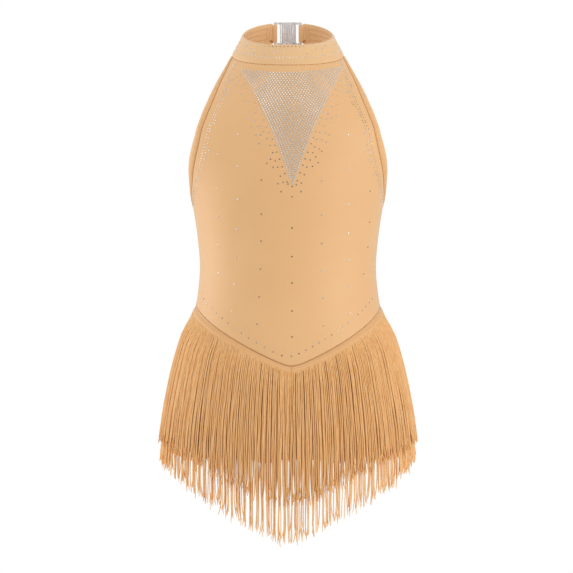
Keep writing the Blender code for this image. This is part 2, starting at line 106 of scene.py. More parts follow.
WAIST = -250.0 * MM
SEAM_SIDE = -291.0 * MM
HEM = -458.0 * MM
V_ROUNDING = 0.06
V_TURN = radians(1.8)
# Lines right round: heights at the tip of the V, at the side seam and behind, and the fullness of the V
SEAM_LINE = (-357.0 * MM, SEAM_SIDE, -303.0 * MM, 0.3)
TAPE_TOPS = (
    (-358.0 * MM, -294.0 * MM, -304.0 * MM, 0.3),
    (-395.0 * MM, -315.0 * MM, -327.0 * MM, 0.35),
)
FRINGE_ENDS = (
    (-503.0 * MM, -438.5 * MM, -449.0 * MM, 0.40),
    (-544.5 * MM, -461.0 * MM, -476.0 * MM, 0.35),
)

# The surface of the dress


def curve(xs, ys):
    """A smooth curve through points whose xs rise: its xs, ys and slopes."""
    return tuple(tuple(map(float, values)) for values in (xs, ys, np.gradient(ys, xs)))


def at(line, x):
    """The curve's value at x. It runs on past its ends."""
    xs, ys, slopes = line
    i = min(max(bisect.bisect_right(xs, x) - 1, 0), len(xs) - 2)
    step = xs[i + 1] - xs[i]
    f = (x - xs[i]) / step
    start = (1 + 2 * f) * (1 - f) ** 2 * ys[i] + f * (1 - f) ** 2 * step * slopes[i]
    end = f * f * (3 - 2 * f) * ys[i + 1] + f * f * (f - 1) * step * slopes[i + 1]
    return start + end


def smoothstep(f):
    f = min(1.0, max(0.0, f))
    return f * f * (3 - 2 * f)


def mix(a, b, f):
    return a + (b - a) * f


def bell(distance, width):
    """1 at no distance, and close to nothing at twice the width."""
    return exp(-((distance / width) ** 2))


HEIGHTS, *SIZES = (np.array(LEVELS[::-1]) * MM).T
HALF_WIDTH, FRONT_DEPTH, BACK_DEPTH = (curve(HEIGHTS, sizes) for sizes in SIZES)
# Half of the gap at the side seam, as an angle
FRONT_GAP, BACK_GAP = (SIDE_SEAM_GAP / 2 / at(depth, WAIST) for depth in (FRONT_DEPTH, BACK_DEPTH))
FRONT_SIDE = SIDE - FRONT_GAP
BACK_SIDE = SIDE + BACK_GAP
ARMHOLE_STEPS = np.arange(len(ARMHOLE), dtype=float)
ARMHOLE_ANGLE = curve(ARMHOLE_STEPS, np.radians([angle for angle, _ in ARMHOLE]))
ARMHOLE_HEIGHT = curve(ARMHOLE_STEPS, np.array([height for _, height in ARMHOLE]) * MM)
AT_UNDERARM = ARMHOLE.index((90.0, -171.0))
AT_BACK = len(ARMHOLE) - 1


def neck_rise(angle):
    """How far a line round the neck has risen at this angle, from its lowest point in front."""
    return NECK_RISE * ((1 - cos(angle)) / 2) ** NECK_RISE_POWER


def skin(angle, height):
    """The outer surface of the dress."""
    depth = at(FRONT_DEPTH if cos(angle) > 0 else BACK_DEPTH, height)
    tilt = 1 - smoothstep((COLLAR_SEAM - height) / NECK_TILT_ENDS)
    rise = tilt * neck_rise(angle) if tilt else 0.0
    return Vector((at(HALF_WIDTH, height) * sin(angle), -depth * cos(angle), height + rise))


def slopes(surface, u, v, step=1e-4):
    """The surface's two directions at a point."""
    along = (surface(u + step, v) - surface(u - step, v)) / (2 * step)
    up = (surface(u, v + step) - surface(u, v - step)) / (2 * step)
    return along, up


def outward(surface, u, v):
    along, up = slopes(surface, u, v)
    return along.cross(up).normalized()


def off(surface, u, v, out):
    """A point of the surface moved out, square to it."""
    return surface(u, v) + out * outward(surface, u, v)


def half_round(middle, gaps=1):
    """How far round from its middle the front or the back reaches, this many gaps short of the side."""
    return SIDE - gaps * (BACK_GAP if middle else FRONT_GAP)


def edge_line(step):
    """Angle and height of the armhole edge, by the table's rows."""
    return at(ARMHOLE_ANGLE, step), at(ARMHOLE_HEIGHT, step)


@lru_cache(maxsize=None)
def inset_line(step, width):
    """Angle and height of the line that lies this far inside the armhole edge."""
    angle, height = edge_line(step)
    small = 0.01
    run = skin(*edge_line(step + small)) - skin(*edge_line(step - small))
    along, up = slopes(skin, angle, height)
    inward = width * run.cross(along.cross(up)).normalized()
    return angle + inward.dot(along) / along.length_squared, height + inward.dot(up) / up.length_squared


def crossing(found, low, high, halvings=40):
    """Where a function that is above zero at low and below it at high crosses zero."""
    for _ in range(halvings):
        middle = (low + high) / 2
        low, high = (middle, high) if found(middle) > 0 else (low, middle)
    return (low + high) / 2


def edge_span(width, seam_side):
    """First and last step, down the edge, of the line this far inside it."""
    top = COLLAR_SEAM - SEAM_GAP
    first = crossing(lambda step: inset_line(step, width)[1] - top, 0.0, 3.0) if width else 0.0
    last = crossing(lambda step: seam_side - inset_line(step, width)[0], AT_UNDERARM - 2, AT_BACK)
    return first, last


def rounded_v(angle, tip, side, fullness):
    """Height of a V line in front: its tip is round and its sides bow up."""
    share = min(1.0, abs(angle) / SIDE)
    share = share * (1 + fullness) - fullness * share**3
    rise = (hypot(share, V_ROUNDING) - V_ROUNDING) / (hypot(1, V_ROUNDING) - V_ROUNDING)
    return mix(tip, side, rise)


def line_round(angle, tip, side, back, fullness):
    """Height of a line right round the dress: a V in front, dipping a little behind."""
    if cos(angle) >= 0:
        return rounded_v(asin(sin(angle)), tip, side, fullness)
    return mix(side, back, smoothstep(-cos(angle)))


def waist_seam(angle):
    return line_round(angle - V_TURN, *SEAM_LINE)


def tape_top(tier, angle):
    return line_round(angle - V_TURN, *TAPE_TOPS[tier])


def front_point(x, z, rounds=20):
    """Angle and height of the place on the front that lies at this x and z."""
    height = z
    for _ in range(rounds):
        angle = asin(max(-1.0, min(1.0, x / at(HALF_WIDTH, height))))
        height += z - skin(angle, height).z
    return angle, height


# Finishes


def linear(colour):
    """Linear colour from an sRGB hex value."""
    parts = [int(colour[i : i + 2], 16) / 255 for i in (1, 3, 5)]
    return (*(c / 12.92 if c <= 0.04045 else ((c + 0.055) / 1.055) ** 2.4 for c in parts), 1.0)


def add(tree, kind, inputs, **settings):
    """Adds a node. An input is a value, or the output that it is linked to."""
    made = tree.nodes.new(kind)
    for name, value in settings.items():
        setattr(made, name, value)
    for socket, value in inputs.items():
        if isinstance(value, bpy.types.NodeSocket):
            tree.links.new(value, made.inputs[socket])
        else:
            made.inputs[socket].default_value = value
    return made


def finish(name, **sockets):
    """A material, its node tree and its shader, with values set on the shader's own sockets."""
    made = bpy.data.materials.new(name)
    made.use_nodes = True
    shader = made.node_tree.nodes["Principled BSDF"]
    for socket, value in sockets.items():
        shader.inputs[socket.replace("_", " ")].default_value = value
    return made, made.node_tree, shader


def band_scale(period):
    """Scale of a wave texture whose bands come once in this length: it has 20 radians to a unit."""
    return 2 * pi / (20 * period)


MIX_FACTOR, MIX_A, MIX_B, MIX_RESULT = 0, 6, 7, 2  # sockets of a Mix node that mixes colours

WALE = 0.7 * MM  # width of one column of loops in the knit, too fine for the camera: it softens the shine
COURSE = 0.5 * MM  # height of one row of them
CLOUDS = 14.0  # to a metre: the shade drifts over about 70 mm


def stretch_knit(name, light, dark, wale=WALE):
    """Nylon and elastane warp knit, matt side out: a soft nap that lightens it where it turns away."""
    nap = {"Sheen_Weight": 0.5, "Sheen_Roughness": 0.4, "Sheen_Tint": linear("#FFF1DE")}
    made, tree, shader = finish(name, Roughness=0.5, Specular_IOR_Level=0.5, **nap)
    cut = add(tree, "ShaderNodeUVMap", {}, uv_map="cut").outputs[0]
    place = add(tree, "ShaderNodeTexCoord", {}).outputs["Object"]
    cloud = add(tree, "ShaderNodeTexNoise", {"Vector": place, "Scale": CLOUDS, "Detail": 3.0})
    shades = {MIX_FACTOR: cloud.outputs["Fac"], MIX_A: linear(dark), MIX_B: linear(light)}
    colour = add(tree, "ShaderNodeMix", shades, data_type="RGBA")
    tree.links.new(colour.outputs[MIX_RESULT], shader.inputs["Base Color"])
    wales = add(tree, "ShaderNodeTexWave", {"Vector": cut, "Scale": band_scale(wale), "Distortion": 0.6})
    across = {"Vector": cut, "Scale": band_scale(COURSE), "Distortion": 0.8}
    courses = add(tree, "ShaderNodeTexWave", across, bands_direction="Y")
    crossed = {0: wales.outputs["Fac"], 1: courses.outputs["Fac"]}
    loops = add(tree, "ShaderNodeMath", crossed, operation="MULTIPLY")
    bump = add(tree, "ShaderNodeBump", {"Height": loops.outputs[0], "Distance": 0.06 * MM, "Strength": 0.5})
    tree.links.new(bump.outputs[0], shader.inputs["Normal"])
    return made


def streaked(tree, place, scale, spread, shades):
    """Upright streaks between two shades: the noise that they come from, and their colour."""
    drawn = add(tree, "ShaderNodeMapping", {"Vector": place, "Scale": scale}).outputs[0]
    noise = {"Vector": drawn, "Scale": 1.0, "Detail": 1.0}
    flow = add(tree, "ShaderNodeTexNoise", noise).outputs["Fac"]
    widened = {"Value": flow, "From Min": spread[0], "From Max": spread[1]}
    share = add(tree, "ShaderNodeMapRange", widened).outputs[0]
    mixed = {MIX_FACTOR: share, MIX_A: linear(shades[0]), MIX_B: linear(shades[1])}
    return flow, add(tree, "ShaderNodeMix", mixed, data_type="RGBA").outputs[MIX_RESULT]


CHAIN = 1.6 * MM  # length of one chain stitch of the strand
LENGTHS = 9.0  # to a metre: a strand changes shade over about 110 mm


def chainette(name, light, middle, dark, speck):
    """Rayon chainette, crocheted from one yarn: silky, each strand a shade lighter or darker."""
    sheen = {"Sheen_Weight": 0.18, "Sheen_Roughness": 0.35, "Sheen_Tint": linear("#FFEBCF")}
    depth = {"Weight": 0.15, "Radius": (1.0, 0.92, 0.84), "Scale": 1.6 * MM}
    depth = {f"Subsurface_{socket}": value for socket, value in depth.items()}
    made, tree, shader = finish(name, Roughness=0.42, Specular_IOR_Level=0.25, **sheen, **depth)
    place = add(tree, "ShaderNodeTexCoord", {}).outputs["Object"]
    _, shade = streaked(tree, place, (1 / speck, 1 / speck, LENGTHS), (0.34, 0.66), (dark, light))
    calmed = {MIX_FACTOR: 0.6, MIX_A: shade, MIX_B: linear(middle)}
    colour = add(tree, "ShaderNodeMix", calmed, data_type="RGBA")
    tree.links.new(colour.outputs[MIX_RESULT], shader.inputs["Base Color"])
    chain = {"Scale": band_scale(CHAIN), "Distortion": 2.5, "Detail": 1.0, "Detail Scale": 300.0}
    links = add(tree, "ShaderNodeTexWave", {"Vector": place, **chain}, bands_direction="Z").outputs["Fac"]
    bump = add(tree, "ShaderNodeBump", {"Height": links, "Distance": 0.1 * MM, "Strength": 0.5})
    tree.links.new(bump.outputs[0], shader.inputs["Normal"])
    return made


TWIST = 0.5 * MM  # length of one turn of the thread's plies


def thread(name, colour):
    """Spun polyester thread, two plies twisted: dull, with a fine slanted ridge."""
    made, tree, shader = finish(name, Base_Color=linear(colour), Roughness=0.72, Sheen_Weight=0.2)
    place = add(tree, "ShaderNodeTexCoord", {}).outputs["Object"]
    wound = {"Vector": place, "Scale": band_scale(TWIST)}
    twist = add(tree, "ShaderNodeTexWave", wound, bands_direction="DIAGONAL")
    bump = add(tree, "ShaderNodeBump", {"Height": twist.outputs["Fac"], "Distance": 0.05 * MM})
    tree.links.new(bump.outputs[0], shader.inputs["Normal"])
    return made


FLOW_WIDTH = 2.4 * MM  # from one streak in the plastic to the next
FLOWS = 22.0  # to a metre: a streak is about 45 mm long, longer than the clasp is high


def moulded_acrylic():
    """Injection-moulded clear acrylic: see-through, greyish where it is thick, and faintly flow-marked."""
    made, tree, shader = finish("moulded_acrylic", Roughness=0.28, IOR=1.49, Transmission_Weight=0.55)
    place = add(tree, "ShaderNodeTexCoord", {}).outputs["Object"]
    scale = (1 / FLOW_WIDTH, 1 / FLOW_WIDTH, FLOWS)
    flow, colour = streaked(tree, place, scale, (0.35, 0.65), ("#EDE8E9", "#FFFFFF"))
    tree.links.new(colour, shader.inputs["Base Color"])
    bump = add(tree, "ShaderNodeBump", {"Height": flow, "Distance": 0.05 * MM})
    tree.links.new(bump.outputs[0], shader.inputs["Normal"])
    return made


RIM_REFLECTION = 0.35  # painted reflection round a stone's rim: how bright it is, from 0 for the darkest to 1
SCRATCHES = 1500.0  # to a metre, one in 0.7 mm: coarser than real ones, so that each facet has some


def foiled_glass():
    """Cut glass with a foil back. Its reflections are painted into its colour: a value per stone turns it
    from dark brown through grey to white, as each facet would mirror a bright or dark patch of the room.
    """
    made, tree, shader = finish("foiled_glass", Roughness=0.2, Metallic=0.6)
    painted_reflection = add(tree, "ShaderNodeAttribute", {}, attribute_name="painted_reflection").outputs["Fac"]
    mirrored = add(tree, "ShaderNodeValToRGB", {"Fac": painted_reflection})
    mirrored.color_ramp.elements.new(RIM_REFLECTION)
    # Dark brown, grey and white: the painted reflection, from dark to bright
    for element, colour in zip(mirrored.color_ramp.elements, ("#6E4C2C", "#BAB3A8", "#FFFFFF")):
        element.color = linear(colour)
    tree.links.new(mirrored.outputs["Color"], shader.inputs["Base Color"])
    place = add(tree, "ShaderNodeTexCoord", {}).outputs["Object"]
    scratch = add(tree, "ShaderNodeTexNoise", {"Vector": place, "Scale": SCRATCHES})
    bump = add(tree, "ShaderNodeBump", {"Height": scratch.outputs["Fac"], "Distance": 0.01 * MM})
    tree.links.new(bump.outputs[0], shader.inputs["Normal"])
    return made


BODY_KNIT = stretch_knit("matt_stretch_knit", "#E6B781", "#E0AE78")
TRIM_KNIT = stretch_knit("folded_knit_binding", "#EAB982", "#E2AE74", 0.55 * MM)
LINING_KNIT = stretch_knit("base_skirt_knit", "#E4B37A", "#DBA76D")
TAPE_KNIT = stretch_knit("knitted_fringe_tape", "#E6B47B", "#DBA56A", 0.9 * MM)
UPPER_CHAINETTE = chainette("chainette_upper_tier", "#F3C88F", "#EAB478", "#DD9B57", 2.1 * MM)
LOWER_CHAINETTE = chainette("chainette_lower_tier", "#FFD59C", "#F9C486", "#EEAB65", 1.9 * MM)
MATCHED_THREAD = thread("matched_sewing_thread", "#D6A066")
# Thread darker than the cloth, laid down in the seams: it paints the shadow in each seam.
SEAM_SHADOW_THREAD = thread("seam_thread_painted_shadow", "#C38D55")
TACK_THREAD = thread("bar_tack_thread", "#B5743A")
COLLAR_KNIT = stretch_knit("doubled_collar_knit", "#E6BC89", "#E0B380")
ACRYLIC = moulded_acrylic()
GLASS = foiled_glass()


# Making pieces

SHARP_FROM = radians(50)
CROWDING = 0.75  # how much closer a cloth's grid stands at its seams: 0 for even, below 1
MERGED = 1e-7  # metres within which points are one


def put(name, data):
    obj = bpy.data.objects.new(name, data)
    bpy.context.scene.collection.objects.link(obj)
    return obj


def piece(name, mesh, material, slot, *nodes):
    """A piece of the dress, which stands for the nodes named."""
    mesh.materials.append(material)
    obj = put(name, mesh)
    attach(obj, "root")
    if nodes:
        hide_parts(*nodes)
    return obj


def mesh_of(name, bm, smooth=True):
    mesh = bpy.data.meshes.new(name)
    bm.to_mesh(mesh)
    bm.free()
    if smooth:
        mesh.shade_smooth()
        mesh.set_sharp_from_angle(angle=SHARP_FROM)
    return mesh


def grid(columns, rows, place, cut):
    """A grid placed by (share across, share down), with the cut cloth's own sizes as its UV map."""
    bm = bmesh.new()
    bmesh.ops.create_grid(bm, x_segments=columns, y_segments=rows, size=1.0)
    uv = bm.loops.layers.uv.new("cut")
    for face in bm.faces:
        for loop in face.loops:
            x, y, _ = loop.vert.co
            loop[uv].uv = (x + 1) / 2 * cut[0], (1 - y) / 2 * cut[1]
    for vert in bm.verts:
        vert.co = place((vert.co.x + 1) / 2, (1 - vert.co.y) / 2)
    return bm


def crowd(share):
    """Moves even shares towards both ends, where the cloth is turned into its seams."""
    return share - CROWDING * sin(2 * pi * share) / (2 * pi)


def cloth(name, columns, rows, place, cut, material, node):
    """A cloth wall: its outer face is placed by (share across, share down)."""
    bm = grid(columns, rows, lambda across, down: place(crowd(across), crowd(down)), cut)
    obj = piece(name, mesh_of(name, bm), material, "stretch_knit", node)
    wall = obj.modifiers.new("Wall", "SOLIDIFY")
    wall.thickness = CLOTH
    wall.offset = -1.0
    wall.use_even_offset = True
    wall.use_quality_normals = True
    return obj


def strip(name, stations, corners, place, cut, material, slot, *nodes):
    """A closed strip along a path: place gives corner n of its section at a share of the path."""
    bm = grid(stations, corners, lambda along, girth: place(along, round(girth * corners) % corners), cut)
    bmesh.ops.remove_doubles(bm, verts=bm.verts, dist=MERGED)
    bmesh.ops.holes_fill(bm, edges=[edge for edge in bm.edges if edge.is_boundary], sides=0)
    bmesh.ops.recalc_face_normals(bm, faces=bm.faces)
    return piece(name, mesh_of(name, bm), material, slot, *nodes)


def cords(name, runs, radius, sides_level, material, slot, *nodes):
    """Round strands along runs of points, each a list of (point, share of the radius)."""
    data = bpy.data.curves.new(name, "CURVE")
    data.dimensions = "3D"
    data.bevel_depth = radius
    data.bevel_resolution = sides_level
    data.use_fill_caps = True
    for run in runs:
        spline = data.splines.new("POLY")
        spline.points.add(len(run) - 1)
        for point, (place, share) in zip(spline.points, run):
            point.co = (*place, 1.0)
            point.radius = share
    made = bpy.data.objects.new(name, data)
    mesh = bpy.data.meshes.new_from_object(made)
    mesh.materials.clear()
    mesh.shade_smooth()
    bpy.data.objects.remove(made)
    return piece(name, mesh, material, slot, *nodes)


def even_shares(place, pitch, samples=400):
    """Shares of a path, from 0 to 1, that lie one pitch apart along it."""
    shares = np.linspace(0.0, 1.0, samples)
    points = np.array([place(share) for share in shares])
    lengths = np.concatenate([[0.0], np.cumsum(np.linalg.norm(np.diff(points, axis=0), axis=1))])
    count = max(1, round(lengths[-1] / pitch))
    return np.interp(np.linspace(0.0, lengths[-1], count + 1), lengths, shares)


STITCH = 2.6 * MM
STITCH_SHARE = 0.74  # of the pitch that shows, the rest lying under the cloth
STITCH_SUNK = 0.12 * MM
STITCH_PROUD = 0.14 * MM


def stitch_runs(place):
    """Stitches along a path: place gives the point at a share of it, this far off the cloth."""
    shares = even_shares(lambda share: place(share, 0.0), STITCH)
    runs = []
    for start, following in zip(shares, shares[1:]):
        end = mix(start, following, STITCH_SHARE)
        middle = mix(start, end, 0.5)
        stations = ((start, -STITCH_SUNK), (middle, STITCH_PROUD), (end, -STITCH_SUNK))
        runs.append([(place(share, out), 1.0) for share, out in stations])
    return runs


# Creases: soft ridges and troughs where the stretched cloth is pulled

# Angle, height, run, slant, width and lift, in degrees and mm. The lift is below 0 in a trough.
FRONT_CREASES = (
    (-60, -176, 62, -32, 5.0, 0.45), (-52, -188, 70, -24, 6.0, -0.40), (-66, -203, 56, -14, 5.0, 0.35),
    (62, -178, 58, 30, 5.5, 0.40), (55, -192, 66, 22, 6.0, -0.45), (67, -206, 50, 12, 4.6, 0.35),
    (-71, -243, 46, 7, 3.8, 0.50), (-74, -256, 40, -5, 3.6, -0.45), (-68, -269, 52, 4, 4.4, 0.45),
    (72, -240, 44, -6, 4.0, 0.45), (70, -254, 50, 5, 4.2, -0.50), (75, -266, 38, -3, 3.6, 0.45),
    (-30, -212, 120, 76, 13.0, -0.50), (26, -232, 130, -80, 14.0, -0.35), (-24, -52, 60, 58, 7.0, 0.30),
    (27, -50, 56, -60, 7.0, 0.30), (-40, -297, 60, 22, 5.0, 0.35), (44, -299, 56, -24, 5.0, 0.35),
)
BACK_CREASES = (
    (158, -238, 80, 6, 4.6, 0.60), (196, -246, 92, -4, 4.8, 0.65), (170, -257, 110, 3, 5.0, -0.60),
    (204, -264, 74, -7, 4.6, 0.55), (150, -270, 66, 9, 4.6, 0.50), (118, -236, 56, 14, 4.0, 0.50),
    (241, -240, 52, -12, 4.0, 0.50), (121, -262, 48, 5, 4.0, -0.45), (238, -266, 50, -6, 4.0, -0.45),
    (180, -286, 120, 0, 6.0, 0.40), (135, -222, 60, 24, 5.0, 0.40), (226, -226, 60, -22, 5.0, 0.40),
)
CREASE_RADIUS = 0.1  # metres of cloth to a radian, close enough over one crease


def crease_relief(creases, angle, height):
    relief = 0.0
    for middle, level, run, slant, width, lift in creases:
        across = (angle - radians(middle)) * CREASE_RADIUS
        above = height - level * MM
        turn = radians(slant)
        along = across * cos(turn) + above * sin(turn)
        aside = above * cos(turn) - across * sin(turn)
        taper = 1 - (2 * along / (run * MM)) ** 2
        if taper > 0:
            relief += lift * MM * taper**2 * bell(aside, width * MM)
    return relief


PRESSED = 0.4 * MM  # how far cloth dips into a seam
PRESSED_WIDTH = 1.7 * MM
PUCKER = 0.13 * MM  # height of the ripples where elastic thread gathers the cloth
PUCKER_WIDTH = 7 * MM
WAIST_PUCKERS = 62  # ripples right round the dress
COLLAR_PUCKERS = 80
BACK_PUCKERS = 70


def pressed(*distances):
    """The dip at the nearest seam."""
    return -PRESSED * bell(max(0.0, min(distances)), PRESSED_WIDTH)


def pucker(angle, distance, waves):
    """Small ripples along a seam, dying out away from it."""
    ripple = sin(waves * angle) + 0.6 * sin(1.7 * waves * angle + 1.3)
    return PUCKER * ripple * bell(distance, PUCKER_WIDTH)


# Bodice

ARMHOLE_SHARE = 0.64  # of the front's rows that lie beside the armholes


def front_cloth():
    first, last = edge_span(CLOTH_INSET, FRONT_SIDE)
    underarm = inset_line(last, CLOTH_INSET)[1]

    def place(across, down):
        across = 2 * across - 1
        if down <= ARMHOLE_SHARE:
            edge, height = inset_line(mix(first, last, down / ARMHOLE_SHARE), CLOTH_INSET)
            angle = across * edge
        else:
            edge = FRONT_SIDE
            angle = across * edge
            share = (down - ARMHOLE_SHARE) / (1 - ARMHOLE_SHARE)
            height = mix(underarm, waist_seam(angle) + SEAM_GAP / 2, share)
        below = COLLAR_SEAM - height
        above = height - waist_seam(angle)
        aside = (1 - abs(across)) * edge * at(HALF_WIDTH, height)
        relief = crease_relief(FRONT_CREASES, angle, height) + min(pressed(aside, below), pressed(above) / 2)
        relief += pucker(angle, above, WAIST_PUCKERS) + pucker(angle, below, COLLAR_PUCKERS)
        return off(skin, angle, height, relief)

    return cloth("bodice_front_cloth", 132, 116, place, (0.36, 0.33), BODY_KNIT, "bodice_front")


def back_cloth():
    _, first = edge_span(CLOTH_INSET, BACK_SIDE)

    def place(across, down):
        across = 1 - 2 * across
        side = copysign(1.0, across)
        angle_top, height_top = inset_line(mix(AT_BACK, first, abs(across)), CLOTH_INSET)
        angle_low = mix(BACK, BACK_SIDE, abs(across))
        height_low = waist_seam(side * angle_low) + SEAM_GAP / 2
        angle = side * mix(angle_top, angle_low, down) % (2 * pi)
        height = mix(height_top, height_low, down)
        aside = (1 - abs(across)) * SIDE * at(HALF_WIDTH, height)
        above, below = height - height_low, height_top - height
        relief = crease_relief(BACK_CREASES, angle, height) + pressed(aside, above, below)
        relief += pucker(angle, above, WAIST_PUCKERS) + pucker(angle, below, BACK_PUCKERS)
        return off(skin, angle, height, relief)

    return cloth("bodice_back_cloth", 120, 52, place, (0.33, 0.09), BODY_KNIT, "bodice_back")


GATHER = 0.10 * MM  # small folds square to the edge, where a binding was stretched on
GATHER_PITCH = 11 * MM

# Section of a binding: share of its width from the seam to the fold, and mm above the body's cloth
BINDING_SECTION = (
    (0.0, -0.25), (0.05, 0.30), (0.16, 0.58), (0.45, 0.72), (0.74, 0.62), (0.90, 0.30), (0.98, -0.20),
    (1.0, -0.62), (0.98, -1.05), (0.90, -1.50), (0.60, -1.75), (0.0, -1.75),
)


def binding(node, stations, pair, length):
    """A folded strip between two lines: pair gives the seam's and the fold's angle and height."""

    def place(along, corner):
        across, out = BINDING_SECTION[corner]
        seam, free = pair(along)
        gather = GATHER * sin(2 * pi * along * length / GATHER_PITCH) * sin(pi * across)
        angle, height = (mix(sewn, folded, across) for sewn, folded in zip(seam, free))
        return off(skin, angle, height, out * MM + gather)

    cut = (length, 2 * BINDING_WIDTH)
    corners = len(BINDING_SECTION)
    return strip(f"{node}_cloth", stations, corners, place, cut, TRIM_KNIT, "knit_binding", node)


def armhole_pair(side):
    outer = edge_span(0.0, FRONT_SIDE)
    inner = edge_span(BINDING_WIDTH, FRONT_SIDE)

    def pair(along):
        seam = inset_line(mix(*inner, along), BINDING_WIDTH)
        free_angle, free_height = edge_line(mix(*outer, along))
        free_height = min(free_height, COLLAR_SEAM - 2 * SEAM_GAP)
        return (side * seam[0], seam[1]), (side * free_angle, free_height)

    return pair


def back_pair(along):
    _, outer = edge_span(0.0, BACK_SIDE)
    _, inner = edge_span(BINDING_WIDTH, BACK_SIDE)
    share = abs(2 * along - 1)
    turn = copysign(1.0, along - 0.5)
    seam = inset_line(mix(AT_BACK, inner, share), BINDING_WIDTH)
    free = edge_line(mix(AT_BACK, outer, share))
    return tuple((BACK - turn * (BACK - angle), height) for angle, height in (seam, free))


# Collar


def collar_ring(angle, ring):
    """Plan position on a ring of the collar."""
    half_width, front, back = ring
    power = 1.0 if cos(angle) > 0 else 2 / COLLAR_BACK_POWER
    depth = front if cos(angle) > 0 else back
    x = half_width * copysign(abs(sin(angle)) ** power, sin(angle))
    y = -depth * copysign(abs(cos(angle)) ** power, cos(angle))
    return x, y


def ring_end(half_opening, ring):
    """The angle behind the neck at which a ring has come in to this half width."""
    return BACK - asin((half_opening / ring[0]) ** (COLLAR_BACK_POWER / 2))


def collar_wall(turn, up):
    """The collar's outer face. turn runs from -1 to 1 between its two ends, up from seam to top."""
    low = turn * ring_end(COLLAR_END, COLLAR_BOTTOM)
    high = turn * ring_end(COLLAR_END, COLLAR_TOP)
    x0, y0 = collar_ring(low, COLLAR_BOTTOM)
    x1, y1 = collar_ring(high, COLLAR_TOP)
    bottom = COLLAR_SEAM + neck_rise(mix(low, high, up))
    return Vector((mix(x0, x1, up), mix(y0, y1, up), bottom + up * COLLAR_HEIGHT))


COLLAR_RIPPLE = 0.10  # mm
COLLAR_RIPPLES = 46  # radians of ripple between its middle and one end

# Section of the collar: share of its height, share of its thickness from the inside out, and relief in mm
COLLAR_SECTION = (
    (0.0, 0.93, 0.0), (0.03, 1.0, 0.0), (0.10, 1.0, 0.20), (0.15, 1.0, 0.34), (0.20, 1.0, 0.34),
    (0.26, 1.0, 0.12), (0.40, 1.0, 0.0), (0.60, 1.0, 0.05), (0.80, 1.0, 0.05), (0.93, 1.0, 0.0),
    (0.98, 0.86, 0.0), (1.0, 0.5, 0.0), (0.98, 0.14, 0.0), (0.93, 0.0, 0.0), (0.75, 0.0, 0.0),
    (0.50, 0.0, 0.0), (0.25, 0.0, 0.0), (0.0, 0.07, 0.0),
)


def collar_fold(wall):
    """0 along the band and 1 where it is folded round the clasp."""
    if wall.y < 0:
        return 0.0
    return smoothstep((COLLAR_FOLD_FROM - abs(wall.x)) / (COLLAR_FOLD_FROM - COLLAR_FOLD_TO))


def collar_point(turn, up, out, relief=0.0):
    """A place in the band: out runs from 0 on the inner face to 1 on the outer one."""
    fold = collar_fold(collar_wall(turn, up))
    narrow = (1 - COLLAR_FOLD_HEIGHT / COLLAR_HEIGHT) / 2
    up = mix(up, mix(narrow, 1 - narrow, up), fold)
    thick = mix(COLLAR_THICK, COLLAR_FOLD, fold)
    return off(collar_wall, turn, up, out * thick - (thick + COLLAR_THICK) / 2 + relief)


def collar_cloth():
    def place(along, corner):
        turn = 2 * along - 1
        turn = copysign(1 - (1 - abs(turn)) ** COLLAR_CROWDING, turn)
        up, out, relief = COLLAR_SECTION[corner]
        if out > 0.5:
            relief += COLLAR_RIPPLE * sin(COLLAR_RIPPLES * turn) * sin(pi * up)
        return collar_point(turn, up, out, relief * MM)

    corners = len(COLLAR_SECTION)
    return strip("collar_cloth", 220, corners, place, (0.33, 0.048), COLLAR_KNIT, "stretch_knit", "collar")


# Clasp


def clasp_frame():
    """The clasp's own frame: x across, y out of the nape, z up, with its origin in its middle."""
    bar = CLASP_HALF_WIDTH - CLASP_BAR / 2
    turn = crossing(lambda share: collar_wall(share, 0.5).x - bar, 0.8, 1.0)
    middle = off(collar_wall, turn, 0.5, -COLLAR_THICK / 2)
    up = collar_wall(turn, 1.0) - collar_wall(turn, 0.0)
    up.x = 0.0
    up.normalize()
    across = Vector((1.0, 0.0, 0.0))
    placed = Matrix((across, up.cross(across), up)).transposed().to_4x4()
    placed.translation = Vector((0.0, middle.y, middle.z))
    return placed


def soft_block(bm, xs, ys, zs, radius):
    """A box between two values on each axis, with its edges rounded."""
    made = bmesh.ops.create_cube(bm, size=1.0)["verts"]
    size = Matrix.Diagonal((xs[1] - xs[0], ys[1] - ys[0], zs[1] - zs[0], 1.0))
    middle = Matrix.Translation((sum(xs) / 2, sum(ys) / 2, sum(zs) / 2))
    bmesh.ops.transform(bm, matrix=middle @ size, verts=made)
    edges = list({edge for vert in made for edge in vert.link_edges})
    bmesh.ops.bevel(bm, geom=edges, offset=radius, affect="EDGES", segments=2, profile=0.5, material=-1)


BAR_ROUNDING = 0.35 * MM
SLEEVE_ROUNDING = 0.5 * MM
RIB_PITCH = 1.9 * MM
RIB_HALF_WIDTH = 0.32 * MM
RIB_SUNK = 0.2 * MM
RIB_PROUD = 0.28 * MM
RIB_SHORT = 1.2 * MM  # from the sleeve's end to the rib's
RIB_ROUNDING = 0.15 * MM


